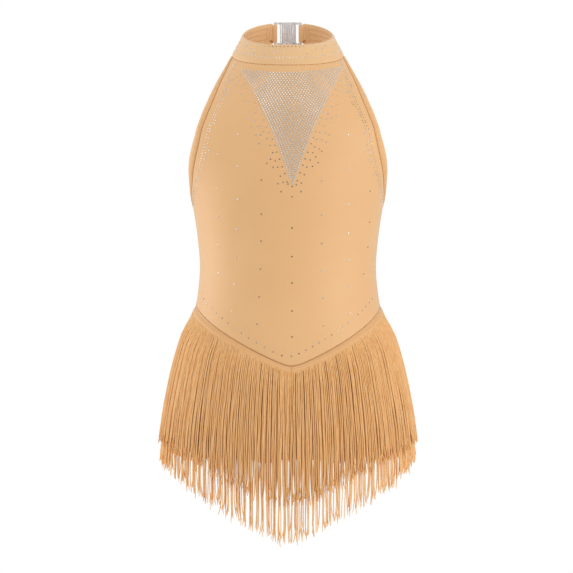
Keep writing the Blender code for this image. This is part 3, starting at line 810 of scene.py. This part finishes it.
def clasp_half(name, side, inner, centre_to, node):
    """One half of the clasp: a slotted end that the collar folds round, and a ribbed middle."""
    top = CLASP_HEIGHT / 2
    plate = CLASP_PLATE / 2
    shell = CLASP_SLEEVE_THICK / 2
    slot_top = CLASP_SLOT_HEIGHT / 2
    bm = bmesh.new()

    def bar(x0, x1, y, z0, z1, radius=BAR_ROUNDING):
        soft_block(bm, sorted((side * x0, side * x1)), (-y, y), (z0, z1), radius)

    bar(CLASP_HALF_WIDTH - CLASP_BAR, CLASP_HALF_WIDTH, plate, -top, top)
    bar(inner, CLASP_HALF_WIDTH - CLASP_BAR / 2, plate, slot_top, top)
    bar(inner, CLASP_HALF_WIDTH - CLASP_BAR / 2, plate, -top, -slot_top)
    bar(centre_to, CLASP_CENTRE_HALF, shell, -top, top, SLEEVE_ROUNDING)
    ribs = int((CLASP_CENTRE_HALF - centre_to) / RIB_PITCH)
    for rib in range(ribs):
        x = centre_to + (rib + 0.5) * (CLASP_CENTRE_HALF - centre_to) / ribs
        xs = sorted((side * (x - RIB_HALF_WIDTH), side * (x + RIB_HALF_WIDTH)))
        for face in (-1, 1):
            ys = sorted((face * (shell - RIB_SUNK), face * (shell + RIB_PROUD)))
            soft_block(bm, xs, ys, (-top + RIB_SHORT, top - RIB_SHORT), RIB_ROUNDING)
    bmesh.ops.transform(bm, matrix=clasp_frame(), verts=bm.verts)
    return piece(name, mesh_of(name, bm), ACRYLIC, "clear_plastic", node)


# Skirt

SIDE_RISE = 14 * MM  # how much higher the hem, and the parting of the fringe, is at the side seams
HEM_WAVE = 3.2 * MM
HEM_WAVES = 11  # right round the dress, and about twice as many small ones
HEM_SMALL = 0.7  # height of a small wave beside a large one
HEM_LIFT = 0.3  # of all the waves, beside the height of a large one
FLUTES = 9
FLUTE_DEPTH = 1.6 * MM


def flute(angle):
    """0 on the ridges of the base skirt's soft flutes, 1 in their troughs."""
    return 0.5 - 0.5 * cos(FLUTES * angle + 0.8 * sin(2 * angle))


def side_rise(angle):
    return SIDE_RISE * smoothstep(2 * abs(sin(angle)) - 1)


def hem(angle):
    """The hanging hem: it rises towards the side seams and waves a little."""
    wave = sin(HEM_WAVES * angle + 0.7) + HEM_SMALL * sin((2 * HEM_WAVES + 1) * angle + 2.0)
    return HEM + side_rise(angle) + HEM_WAVE * (wave + HEM_LIFT) / (1 + HEM_SMALL)


def skirt_cloth(name, middle, node):
    """Half of the base skirt. It flutes inwards a little, clear of the fringe that hangs over it."""
    half = half_round(middle)

    def place(across, down):
        angle = middle + mix(-half, half, across)
        seam = waist_seam(angle)
        height = mix(seam - SEAM_GAP / 2, hem(angle), down)
        aside = min(across, 1 - across) * 2 * half * at(HALF_WIDTH, height)
        relief = pressed(aside, seam - height) - FLUTE_DEPTH * flute(angle) * smoothstep(down)
        return off(skin, angle, height, relief)

    return cloth(name, 110, 46, place, (0.40, 0.14), LINING_KNIT, node)


# Fringe

# Section of the tape: mm above the body's cloth, and mm below its top edge
TAPE_SECTION = (
    (0.10, 0.0), (0.50, 0.45), (0.90, 1.20), (1.15, 2.10), (1.60, 3.10), (1.90, 4.60), (1.85, 6.50),
    (1.60, 7.70), (1.00, 8.00), (0.30, 7.80), (0.25, 4.00),
)
TIERS = ("upper", "lower")


def tape(tier, middle, place_name):
    """The knitted tape that the strands grow from, with a ridge where it is sewn down."""
    half = half_round(middle, 2)

    def place(along, corner):
        angle = middle + mix(-half, half, along)
        out, drop = TAPE_SECTION[corner]
        return off(skin, angle, tape_top(tier, angle) - drop * MM, out * MM)

    name = f"fringe_tape_{TIERS[tier]}_{place_name}"
    return strip(name, 150, len(TAPE_SECTION), place, (0.37, 0.018), TAPE_KNIT, "chainette")


STRAND_STATIONS = (0.0, 0.05, 0.12, 0.2, 0.29, 0.38, 0.47, 0.56, 0.65, 0.74, 0.82, 0.885, 0.93, 0.965, 1.0)
STRAND_STRAY = 0.28  # share of their pitch by which the strands stray along the tape
ROOT_DROP = 5.0 * MM  # the strands start inside the tape, this far below its top
ROOT_OUT = 1.35  # mm off the body's cloth
SETTLED = 28  # mm down the strand at which it has come to rest
CURL_FROM = 0.86  # share of the strand at which its end starts to curl
THIN_FROM, THIN_OVER, THINNED = 0.6, 0.3, 0.14  # it thins from here, over this share, by this much
TIP = 0.5  # share of the strand's thickness at its cut end
OVER_SIDE_SEAM = 0.4 * MM  # how far past it the strands spread

# The two layers of strands of each fringe: how many strands, mm off the skirt at which they settle, how many
# clumps they draw into, how far into them, mm of radius, and mm over which their ends stray
LAYERS = {
    ("upper", "front"): ((150, 3.9, 64, 0.24, 0.72, 13.0), (216, 5.4, 72, 0.30, 0.80, 13.0)),
    ("upper", "back"): ((120, 3.9, 56, 0.24, 0.72, 13.0), (206, 5.4, 64, 0.30, 0.80, 13.0)),
    ("lower", "front"): ((150, 1.3, 60, 0.50, 0.60, 13.0), (236, 2.8, 52, 0.60, 0.66, 9.0)),
    ("lower", "back"): ((90, 1.3, 36, 0.60, 0.66, 9.0), (186, 2.8, 44, 0.55, 0.74, 8.0)),
}

# How each strand differs, as a range or a spread
END_STRAY = 0.28  # share of its layer's own stray
SWAY, SWAY_WAVE = (0.1, 0.5), (50, 90)  # mm aside, and mm from one wave to the next
HOOK, KICK = 1.7, (-1.0, 1.6)  # mm by which its end curls aside, and off the skirt
DEPTH, THICKNESS = 0.45, (0.86, 1.12)  # mm off the skirt, and share of its layer's radius
UNEVEN = 0.3  # share of their pitch by which the edges of clumps stray
EAGER, PULL = (0.25, 1.35), (0.8, 1.15)  # how much of its pull a whole clump takes, and one strand in it

LOCKS = 74  # clumps over half of the skirt that both tiers draw into, from about the base skirt's hem down
LOCK_PULL = 0.54  # how far into them
LOCK_UNEVEN, LOCK_EAGER, LOCK_ONE = 0.38, (0.2, 1.6), (0.5, 1.2)  # as UNEVEN, EAGER and PULL above
LOCK_SEED = 4107
PARTING = (HEM + 28 * MM, HEM - 40 * MM)  # heights between which the first clumps part
LATEST = 36 * MM  # how much lower the last of them part


def clump_edges(half, count, uneven, chance):
    """Edges of clumps over half of the skirt. The end ones lie across the side seams, and so close them."""
    edges = np.linspace(-half, half, count + 1)
    pitch = edges[1] - edges[0]
    edges[1:-1] += chance.uniform(-uneven, uneven, count - 1) * pitch
    edges[[0, -1]] += -pitch, pitch
    return edges


def locks(half):
    """Edges of the shared clumps, how eagerly each draws together, and how far down each starts to."""
    chance = np.random.default_rng(LOCK_SEED)
    edges = clump_edges(half, LOCKS, LOCK_UNEVEN, chance)
    return edges, chance.uniform(*LOCK_EAGER, LOCKS), chance.uniform(0.0, LATEST, LOCKS)


def clump_of(edges, turn):
    """The number and the middle of the clump in which a strand grows."""
    number = int(np.searchsorted(edges, turn)) - 1
    return number, (edges[number] + edges[number + 1]) / 2


def strand_runs(tier, middle, layer, chance):
    """Strands over half of the skirt. Each falls along the flare, sways, and curls at its end."""
    half = half_round(middle)
    strands, out, clumps, pulled, radius, stray = layer
    edges = clump_edges(half, clumps, UNEVEN, chance)
    eager = chance.uniform(*EAGER, clumps)
    lock_edges, lock_eager, lock_late = locks(half)
    reach = half + OVER_SIDE_SEAM / at(HALF_WIDTH, WAIST)
    runs = []
    for number in range(strands):
        even = (number + 0.5 + chance.uniform(-STRAND_STRAY, STRAND_STRAY)) / strands
        turn = mix(-reach, reach, even)
        clump, clump_middle = clump_of(edges, turn)
        pull = pulled * eager[clump] * chance.uniform(*PULL)
        lock, lock_middle = clump_of(lock_edges, turn)
        lock_pull = LOCK_PULL * lock_eager[lock] * chance.uniform(*LOCK_ONE)
        part_from = PARTING[0] - lock_late[lock] + side_rise(turn)
        end = line_round(middle + turn, *FRINGE_ENDS[tier])
        end += chance.normal(0.0, END_STRAY) * stray * MM
        sway, phase, wave = chance.uniform(*SWAY), chance.uniform(0, 2 * pi), chance.uniform(*SWAY_WAVE)
        hook, kick = chance.normal(0.0, HOOK), chance.uniform(*KICK)
        depth, thick = chance.uniform(-DEPTH, DEPTH), chance.uniform(*THICKNESS)
        top = tape_top(tier, middle + turn) - ROOT_DROP
        run = []
        for share in STRAND_STATIONS:
            height = mix(top, end, share)
            drop = (top - height) / MM
            gathered = mix(turn, clump_middle, pull * smoothstep(share * 1.15))
            parted = smoothstep((part_from - height) / (PARTING[0] - PARTING[1]))
            gathered = mix(gathered, lock_middle, lock_pull * parted)
            curl = max(0.0, (share - CURL_FROM) / (1 - CURL_FROM)) ** 2
            aside = sway * smoothstep(share * 2) * sin(2 * pi * drop / wave + phase) + hook * curl
            angle = middle + gathered + aside * MM / at(HALF_WIDTH, height)
            settled = mix(ROOT_OUT, out + depth, smoothstep(drop / SETTLED))
            thin = TIP if share == 1.0 else 1 - THINNED * smoothstep((share - THIN_FROM) / THIN_OVER)
            run.append((off(skin, angle, height, (settled + kick * curl) * MM), thick * thin * radius))
        runs.append(run)
    return runs


def fringe(tier, middle, place_name, material, seed):
    chance = np.random.default_rng(seed)
    runs = []
    for layer in LAYERS[TIERS[tier], place_name]:
        runs += strand_runs(tier, middle, layer, chance)
    name = f"fringe_{TIERS[tier]}_{place_name}"
    return cords(f"{name}_strands", runs, MM, 1, material, "chainette", name)


# Rhinestones

STONE_FACETS = 8
STONE_TABLE = 0.55  # share of the radius
STONE_HEIGHT = 0.28  # share of the width
STONE_SUNK = 0.05 * MM  # into its glue


def stones(name, spots, width, chance, lean=0.03):
    """Flat-backed cut stones, glued on: each spot is a point, the direction out of the cloth, and how bright
    the stone's painted reflection is on its table. Its rim gets a dimmer painted grey.
    """
    bm = bmesh.new()
    reflection_layer = bm.verts.layers.float.new("painted_reflection")
    half_height = STONE_HEIGHT * width / 2
    for point, out, painted_reflection in spots:
        leant = Vector(chance.normal(0.0, lean, 3))
        facing = (out + leant).normalized().to_track_quat("Z", "Y").to_matrix().to_4x4()
        facing @= Matrix.Rotation(pi / STONE_FACETS, 4, "Z")
        made = bmesh.ops.create_cone(
            bm,
            cap_ends=True,
            segments=STONE_FACETS,
            radius1=width / 2,
            radius2=STONE_TABLE * width / 2,
            depth=2 * half_height,
            matrix=Matrix.Translation(point + out * (half_height - STONE_SUNK)) @ facing,
        )["verts"]
        # Painted reflection: the spot's value on the table, and the dimmer rim value round the rim
        for vert in made:
            on_table = (vert.co - point).dot(out) > half_height
            vert[reflection_layer] = painted_reflection if on_table else RIM_REFLECTION
    return piece(name, mesh_of(name, bm, smooth=False), GLASS, "rhinestone")


def spot(angle, height, painted_reflection):
    return skin(angle, height), outward(skin, angle, height), painted_reflection


def front_spot(x, z, painted_reflection):
    return spot(*front_point(x * MM, z * MM), painted_reflection)


MOTIF_STONE = 2.42 * MM
MOTIF_PITCH = 3.2  # mm between stones across the triangle
MOTIF_STEP = 2.36  # mm between its rows, down the sides
MOTIF_SAG = 7.6  # mm by which the top row hangs below a straight line between the corners
# Painted reflection of the triangle's stones, from dark to bright
MOTIF_TONE = (0.58, 0.7)
MOTIF_BRIGHTER = 0.08  # painted brighter at the two sides
MOTIF_DARKER = 0.16  # painted darker in the middle of the top row
# The triangle's two long sides, in mm across and up as seen from in front, from the top corner to the point
MOTIF_LEFT = ((-51.0, -33.0), (-33.7, -64.5), (-22.2, -89.3), (-10.7, -116.8), (-2.3, -140.7), (4.8, -160.5))
MOTIF_RIGHT = ((60.5, -28.4), (50.9, -48.8), (39.7, -72.2), (29.7, -93.7), (17.8, -123.9), (4.8, -160.5))


def side_line(side):
    """The two curves of a side, by the share of the way down."""
    drops = [(side[0][1] - z) / (side[0][1] - side[-1][1]) for _, z in side]
    return curve(drops, [x for x, _ in side]), curve(drops, [z for _, z in side])


CLOSEST, WIDEST = 0.75, 1.5  # pitches between the two stones that meet in the middle of a row


def row_shares(width):
    """Shares of a row at which stones stand: each half is paced from its own side of the triangle."""
    pitch = MOTIF_PITCH / width
    shares = [number * pitch for number in range(int(width / 2 / MOTIF_PITCH) + 1)]
    middle = (1 - 2 * shares[-1]) / pitch
    if middle < CLOSEST:
        shares.pop()
    lone = [] if CLOSEST <= middle <= WIDEST else [0.5]
    return shares + lone + [1 - share for share in shares]


def motif_spots(chance):
    """Rows of stones across the triangle, each half of a row lined up on its own long side."""
    sides = side_line(MOTIF_LEFT), side_line(MOTIF_RIGHT)
    rows = round((MOTIF_LEFT[0][1] - MOTIF_LEFT[-1][1]) / MOTIF_STEP)
    for row in range(rows + 1):
        share = row / rows
        ends = [np.array([at(xs, share), at(zs, share)]) for xs, zs in sides]
        width = max(ends[1][0] - ends[0][0], MM)
        for across in row_shares(width):
            x, z = mix(ends[0], ends[1], across)
            z -= MOTIF_SAG * (1 - share) * 4 * across * (1 - across)
            beside = abs(2 * across - 1)
            painted_reflection = chance.uniform(*MOTIF_TONE) + MOTIF_BRIGHTER * beside
            yield front_spot(x, z, painted_reflection - MOTIF_DARKER * (1 - share) * (1 - beside))


# Rows beside the triangle: mm from it, mm between stones, and the share of them that is set
STREWN_ROWS = ((4.0, 7.0, 1.0), (8.6, 7.2, 0.9), (13.2, 8.2, 0.6), (17.6, 10.0, 0.45))
STREWN_STONE = 1.85 * MM
STREWN_LEAN = 0.38  # how far the rows slip down, as a share of how far away they are
STREWN_CROWDING = 1.25  # above 1, the stones stand closer near the top
STREWN_SPAN = (0.04, 0.98)  # the part of a side that has them, in shares of it
STREWN_STRAY = ((0.35, 0.65), 0.4)  # where a stone stands in its pitch, and mm by which it strays aside
STREWN_TONES = (0.55, 0.12)  # painted reflection beside the top of the triangle, and beside its point
STREWN_DARKENS = (0.4, 0.4)  # from this share of the side on, and over this share
STREWN_VARIES = (0.75, 1.25)  # share of the painted reflection


def motif_scatter(chance):
    """Rows of single stones beside the triangle's two long sides, their painted reflection darker towards its
    point.
    """
    for side, outwards in ((MOTIF_RIGHT, 1), (MOTIF_LEFT, -1)):
        xs, zs = side_line(side)
        length = dist(side[0], side[-1])
        for row_away, pitch, kept in STREWN_ROWS:
            count = round(length / pitch)
            for number in range(count):
                share = ((number + chance.uniform(*STREWN_STRAY[0])) / count) ** STREWN_CROWDING
                away = row_away + chance.normal(0.0, STREWN_STRAY[1])
                if STREWN_SPAN[0] < share < STREWN_SPAN[1] and chance.uniform() < kept:
                    dark = smoothstep((share - STREWN_DARKENS[0]) / STREWN_DARKENS[1])
                    painted_reflection = mix(*STREWN_TONES, dark) * chance.uniform(*STREWN_VARIES)
                    x, z = at(xs, share) + outwards * away, at(zs, share) - away * STREWN_LEAN
                    yield front_spot(x, z, painted_reflection)


# Stones round the triangle's point, in mm across and up as seen from in front
APEX_STONES = ((0.0, -161.2), (4.5, -163.8), (9.2, -162.0), (-7.3, -169.2), (14.1, -169.2), (4.5, -174.8))
# Columns of single stones: x at the top and at the foot, brightness of the painted reflection, and heights,
# in mm as seen from in front
STONE_COLUMNS = (
    (-77.0, -76.0, 0.62, (-127.6, -164.3, -195.0, -226.1, -256.8)),
    (-55.2, -61.6, 0.78, (-106.4, -141.2, -176.8, -209.1, -240.6, -268.9, -298.2)),
    (-28.7, -33.3, 0.18, (-156.7, -193.3, -222.3, -252.6, -283.0, -312.2)),
    (4.3, 4.3, 0.06, (-208.4, -239.2, -267.8, -298.1, -326.0)),
    (36.6, 38.6, 0.42, (-157.7, -194.3, -225.0, -254.8, -284.1, -314.2)),
    (65.4, 67.2, 0.56, (-107.2, -143.1, -181.9, -213.3, -242.1, -271.1, -300.4)),
    (90.0, 83.4, 0.16, (-167.0, -200.7, -228.1, -257.8)),
)
SINGLE_STONE = 2.1 * MM
SINGLE_VARIES = (0.75, 1.2)  # share of the painted reflection
# Painted reflection of the stones at the triangle's point and of those in the V
APEX_TONE, V_TONE = (0.05, 0.25), (0.08, 0.42)
V_STONES = (-347.0 * MM, -270.5 * MM, 0.25)  # tip, side and fullness of the line above the waist seam
V_STONES_END = radians(66)
V_STONES_PITCH = (10.2 * MM, 8.8 * MM)  # left and right of the tip


def single_spots(chance):
    """The stones at the triangle's point, the columns, and the V above the waist seam."""
    for x, z in APEX_STONES:
        yield front_spot(x, z, chance.uniform(*APEX_TONE))
    for top, foot, painted_reflection, heights in STONE_COLUMNS:
        for z in heights:
            x = mix(top, foot, ((heights[0] - z) / (heights[0] - heights[-1])) ** 3)
            yield front_spot(x, z, painted_reflection * chance.uniform(*SINGLE_VARIES))

    for side, pitch in zip((-1, 1), V_STONES_PITCH):

        def line(share):
            angle = mix(V_TURN, side * V_STONES_END, share)
            return angle, rounded_v(angle, *V_STONES)

        shares = even_shares(lambda share: skin(*line(share)), pitch)
        for share in shares if side > 0 else shares[1:]:
            yield spot(*line(share), chance.uniform(*V_TONE))


ARMHOLE_BAND = (10.2 * MM, 5.8 * MM)  # from the binding's seam to the outer row, at its top and its foot
ARMHOLE_ROWS = ((0.0, 1.0), (2.9 * MM, 0.8), (5.6 * MM, 0.3))  # inwards of the outer row, share of stones set
ARMHOLE_ROW_PITCH = 3.4 * MM
ARMHOLE_ROW_ENDS = (0.3, -0.5)  # how far inside the edge's span a row starts and ends, in steps
ARMHOLE_STRAY = (0.002, 0.25)  # share of the row along it, and mm aside
# Painted reflection of the stones beside the armholes, from dark to bright
ARMHOLE_TONE = (0.3, 0.65)
ARMHOLE_LIGHT = {-1: 0.6, 1: -0.3}  # how much brighter the left and the right stones are about half way down
ARMHOLE_LIT = (0.42, 0.2)  # share of the row where they are so, and over which it fades
SMALL_STONE = 1.6 * MM


def armhole_spots(chance):
    """Rows of small stones beside each armhole."""
    for side in (-1, 1):
        for inwards, kept in ARMHOLE_ROWS:
            width = BINDING_WIDTH + inwards
            span = edge_span(width + ARMHOLE_BAND[1], FRONT_SIDE)
            first, last = (step + moved for step, moved in zip(span, ARMHOLE_ROW_ENDS))

            def line(share):
                angle, height = inset_line(mix(first, last, share), width + mix(*ARMHOLE_BAND, share))
                return side * angle, height

            for share in even_shares(lambda share: skin(*line(share)), ARMHOLE_ROW_PITCH, 60):
                angle, height = line(share + chance.normal(0.0, ARMHOLE_STRAY[0]))
                angle += chance.normal(0.0, ARMHOLE_STRAY[1]) * MM / at(HALF_WIDTH, height)
                if chance.uniform() < kept:
                    lit = ARMHOLE_LIGHT[side] * bell(share - ARMHOLE_LIT[0], ARMHOLE_LIT[1])
                    yield spot(angle, height, chance.uniform(*ARMHOLE_TONE) + lit)


# Share of the collar's height, pitch, reach of turn, and painted reflection in the row's dark part, which
# paints shade, and beside it
COLLAR_ROWS = ((0.88, 4.3 * MM, 0.66, 0.05, 0.9), (0.35, 3.6 * MM, 0.62, 0.8, 0.8))
COLLAR_DARK = (-0.03, 0.08, 0.12)  # middle, half width and fading of the painted-shade part, in turn
COLLAR_STRAY, COLLAR_VARIES = 0.012, (0.8, 1.1)  # share of the collar's height, and of the painted reflection
# Loose stones between the rows: from and to which turn, how many, and how much brighter their painted
# reflection is
COLLAR_LOOSE = ((-0.5, -0.05, 30, 0.22), (-0.05, 0.5, 16, 0.0))
LOOSE_BETWEEN, LOOSE_TONE = (0.42, 0.8), (0.2, 0.75)  # shares of the collar's height, and painted reflections


def collar_spot(turn, up, painted_reflection):
    return collar_point(turn, up, 1.0), outward(collar_wall, turn, up), painted_reflection


def collar_spots(chance):
    middle, half, fading = COLLAR_DARK
    for up, pitch, reach, dark, bright in COLLAR_ROWS:
        for share in even_shares(lambda share: collar_wall(mix(-reach, reach, share), up), pitch):
            turn = mix(-reach, reach, share)
            painted_reflection = mix(dark, bright, smoothstep((abs(turn - middle) - half) / fading))
            strayed = up + chance.normal(0.0, COLLAR_STRAY)
            yield collar_spot(turn, strayed, painted_reflection * chance.uniform(*COLLAR_VARIES))
    for low, high, count, light in COLLAR_LOOSE:
        for _ in range(count):
            turn, up = chance.uniform(low, high), chance.uniform(*LOOSE_BETWEEN)
            yield collar_spot(turn, up, chance.uniform(*LOOSE_TONE) + light)


# Threads

SEAM_SUNK = -0.35 * MM  # the middle of the thread in a seam, below the cloth's face
UNDERARM_DROP = 0.5 * MM  # from the cloth's edge under the arm to the top of the side seam's thread
JOINT_PROUD = 0.05  # mm above the tape, of the middle of the thread that joins its ends


def sunk_run(place, points, radius=1.0, depth=SEAM_SUNK):
    """A thread down in a seam: place gives the seam's angle and height at a share of it."""
    return [(off(skin, *place(share), depth), radius) for share in np.linspace(0.0, 1.0, points).tolist()]


def seam_shadow_runs():
    """Thread down in each seam and over the tapes' joint, coloured darker than the cloth: a painted shadow
    along each seam.
    """
    half = half_round(0.0, 2)
    underarm = inset_line(edge_span(0.0, SIDE)[1], 0.0)[1] - UNDERARM_DROP
    collar_end = inset_line(edge_span(BINDING_WIDTH, SIDE)[0], BINDING_WIDTH)[0]
    tape_joint = tape_top(0, V_TURN)

    def waist(middle, share):
        angle = middle + mix(-half, half, share)
        return angle, waist_seam(angle)

    runs = []
    for side in (-1, 1):
        pair = armhole_pair(side)
        runs.append(sunk_run(lambda share: pair(share)[0], 110, 1.1))
        for high, low, radius in ((underarm, SEAM_SIDE, 0.7), (SEAM_SIDE, hem(SIDE), 1.0)):
            runs.append(sunk_run(lambda share: (side * SIDE, mix(high, low, share)), 24, radius))
    joint = []
    for out, drop in TAPE_SECTION[1:7]:
        joint.append((off(skin, V_TURN, tape_joint - drop * MM, (out + JOINT_PROUD) * MM), 0.6))
    return runs + [
        sunk_run(lambda share: back_pair(share)[0], 130),
        sunk_run(lambda share: (mix(-collar_end, collar_end, share), COLLAR_SEAM - SEAM_GAP / 2), 90),
        sunk_run(lambda share: waist(0.0, share), 140, 0.6, SEAM_SUNK / 3),
        joint,
        sunk_run(lambda share: waist(BACK, share), 120),
    ]


BINDING_ROWS = ((0.16, 0.58), (0.40, 0.71))  # share of the binding's width, and mm above the body's cloth
BINDING_SEWN = (0.004, 0.996)  # the stitched part of its length


def binding_stitches():
    runs = []
    for pair in (armhole_pair(-1), armhole_pair(1), back_pair):
        for across, height in BINDING_ROWS:

            def place(share, out):
                seam, free = pair(mix(*BINDING_SEWN, share))
                angle, up = (mix(sewn, folded, across) for sewn, folded in zip(seam, free))
                return off(skin, angle, up, height * MM + out)

            runs += stitch_runs(place)
    return runs


def collar_turn(half_width):
    """How far round the collar its back has come in to this half width."""
    return ring_end(half_width, COLLAR_TOP) / ring_end(COLLAR_END, COLLAR_TOP)


BOX_COLUMNS = (17.4 * MM, 20.2 * MM, 23.0 * MM)  # half widths at which the folded ends are sewn down
BOX_FOOT, BOX_TOP = 0.14, 0.86  # share of the collar's height, as in the rows
QUILT_ROWS = (0.24, 0.5, 0.76)
QUILTED_FROM = 0.52  # the turn, which is 1 at the collar's end
TACKS = 4
TACKS_FROM = 16.6 * MM  # half width at the first of them
TACK_PITCH = 0.7 * MM
# In shares of the collar's height: the foot of the first, how much higher each next one is, and how high
# its points are above its foot
TACK_FOOT, TACK_CLIMB, TACK_RISES = 0.05, 0.02, (0.0, 0.05, 0.1)
TACK_PROUD = 0.15 * MM  # off the collar's inner face


def collar_stitches():
    """Rows of quilting inside the back of the collar, and the boxes that hold its folded ends."""
    runs = []
    box = collar_turn(BOX_COLUMNS[-1])
    for side in (-1, 1):
        for up in QUILT_ROWS:
            runs += stitch_runs(
                lambda share, out: collar_point(side * mix(QUILTED_FROM, box, share), up, 0.0, -out)
            )
        for half_width in BOX_COLUMNS:
            turn = side * collar_turn(half_width)
            for face, facing in ((0.0, -1), (1.0, 1)):
                runs += stitch_runs(
                    lambda share, out: collar_point(turn, mix(BOX_FOOT, BOX_TOP, share), face, facing * out)
                )
    return runs


def bar_tacks():
    """A close bar of stitches at the foot of each folded end."""
    runs = []
    for side in (-1, 1):
        for number in range(TACKS):
            turn = side * collar_turn(TACKS_FROM + number * TACK_PITCH)
            ups = [TACK_FOOT + TACK_CLIMB * number + rise for rise in TACK_RISES]
            runs.append([(collar_point(turn, up, 0.0, -TACK_PROUD), 1.0) for up in ups])
    return runs


TAPE_STITCH = (2.1 * MM, 1.15 * MM)  # below the tape's top, and above the body's cloth
HEM_STITCH = 9 * MM  # above the hem


def skirt_stitches():
    """The tapes' stitching, and the row that holds the base skirt's hem."""
    runs = []
    half = half_round(0.0, 3)
    for middle in (0.0, BACK):
        for tier in (0, 1):

            def on_tape(share, out):
                angle = middle + mix(-half, half, share)
                return off(skin, angle, tape_top(tier, angle) - TAPE_STITCH[0], TAPE_STITCH[1] + out)

            runs += stitch_runs(on_tape)

        def on_hem(share, out):
            angle = middle + mix(-half, half, share)
            return off(skin, angle, hem(angle) + HEM_STITCH, out - FLUTE_DEPTH * flute(angle))

        runs += stitch_runs(on_hem)
    return runs


# The whole dress

# How far across each half of the clasp reaches: where its slotted end starts, and where its sleeve does
SOCKET_REACH = (CLASP_CENTRE_HALF / 2, -6.9 * MM)
HOOK_REACH = (7.0 * MM, 7.5 * MM)
STONE_SEED = 5
FRINGE_SEED = 31
SEAM_SHADOW_THREAD_RADIUS = 0.42 * MM
STITCH_RADIUS = 0.17 * MM
QUILT_RADIUS = 0.32 * MM
TACK_RADIUS = 0.3 * MM


def dress():
    front = front_cloth()
    back = back_cloth()
    left = binding("armhole_binding_left", 150, armhole_pair(-1), 0.245)
    right = binding("armhole_binding_right", 150, armhole_pair(1), 0.245)
    low = binding("back_binding", 200, back_pair, 0.33)
    collar = collar_cloth()
    clasp_half("clasp_socket_moulded", 1, *SOCKET_REACH, "clasp_socket")
    clasp_half("clasp_hook_moulded", -1, *HOOK_REACH, "clasp_hook")

    chance = np.random.default_rng(STONE_SEED)
    motif = stones("rhinestone_triangle", motif_spots(chance), MOTIF_STONE, chance, 0.012)
    strewn = stones("rhinestones_strewn", motif_scatter(chance), STREWN_STONE, chance)
    single = stones("rhinestones_single", single_spots(chance), SINGLE_STONE, chance)
    beside = stones("rhinestones_armholes", armhole_spots(chance), SMALL_STONE, chance)
    on_collar = stones("rhinestones_collar", collar_spots(chance), SMALL_STONE, chance)

    seams = cords("seam_shadow_threads", seam_shadow_runs(), SEAM_SHADOW_THREAD_RADIUS, 1, SEAM_SHADOW_THREAD, "stretch_knit")
    cords("binding_stitches", binding_stitches(), STITCH_RADIUS, 0, MATCHED_THREAD, "knit_binding")
    quilted = cords("collar_stitches", collar_stitches(), QUILT_RADIUS, 0, MATCHED_THREAD, "stretch_knit")
    tacked = cords("bar_tacks", bar_tacks(), TACK_RADIUS, 0, TACK_THREAD, "stretch_knit")
    cords("skirt_stitches", skirt_stitches(), STITCH_RADIUS, 0, MATCHED_THREAD, "stretch_knit")

    for number, (middle, place_name, area) in enumerate(((0.0, "front", 0.047), (BACK, "back", 0.055))):
        skirt = skirt_cloth(f"base_skirt_{place_name}_cloth", middle, f"skirt_{place_name}")
        for tier, material in enumerate((UPPER_CHAINETTE, LOWER_CHAINETTE)):
            band = tape(tier, middle, place_name)
            strands = fringe(tier, middle, place_name, material, FRINGE_SEED + 2 * tier + number)


# Room

FLOOR_RADIUS = 2.9
FLOOR_HEIGHT = -1.05
DRESS_MIDDLE = Vector((0.0, 0.0, -0.28))
LIGHTS = (  # name, place, width and power
    ("key", (2.2, -1.35, 0.2), 1.7, 21.3),
    ("rim", (-2.3, 0.35, 0.0), 1.7, 20.5),
    ("top", (0.0, -1.0, 1.7), 1.4, 5.0),
)
ROOM_LIGHT = 0.75  # how much the white room lights the dress, beside how bright it looks


def floor():
    """A round floor in rolled emulsion paint: dull and even, with no shine."""
    bm = bmesh.new()
    bmesh.ops.create_circle(bm, cap_ends=True, segments=64, radius=FLOOR_RADIUS)
    bmesh.ops.translate(bm, vec=(0.0, 0.0, FLOOR_HEIGHT), verts=bm.verts)
    made = put("floor", mesh_of("floor", bm, smooth=False))
    paint, _, _ = finish("pale_matt_paint", Base_Color=linear("#F2F0EC"), Roughness=0.9)
    made.data.materials.append(paint)


def lights():
    """Three large soft lights, turned to the dress."""
    for name, place, size, power in LIGHTS:
        light = bpy.data.lights.new(name, "AREA")
        light.size = size
        light.energy = power
        lamp = put(name, light)
        lamp.location = place
        lamp.rotation_euler = (DRESS_MIDDLE - lamp.location).to_track_quat("-Z", "Y").to_euler()


def white_room():
    world = bpy.data.worlds.new("white_room")
    bpy.context.scene.world = world
    world.use_nodes = True
    tree = world.node_tree
    backdrop = tree.nodes["Background"]
    backdrop.inputs["Color"].default_value = (1.0, 1.0, 1.0, 1.0)
    seen = add(tree, "ShaderNodeLightPath", {}).outputs["Is Camera Ray"]
    strength = add(tree, "ShaderNodeMapRange", {"Value": seen, "To Min": ROOM_LIGHT, "To Max": 1.0})
    tree.links.new(strength.outputs[0], backdrop.inputs["Strength"])
    bpy.context.scene.view_settings.view_transform = "Standard"


CAMERA_PLACE = (-0.0016, -2.3, -0.2716)
PICTURE_WIDTH = 0.642  # metres across at the body's middle
SENSOR = 36.0


def camera():
    """A long lens, level with the waist and square to the front."""
    data = bpy.data.cameras.new("camera")
    data.lens = SENSOR * -CAMERA_PLACE[1] / PICTURE_WIDTH
    data.sensor_width = SENSOR
    made = put("camera", data)
    made.location = CAMERA_PLACE
    made.rotation_euler = (radians(90), 0.0, 0.0)
    bpy.context.scene.camera = made


camera()
floor()
lights()
white_room()
dress()
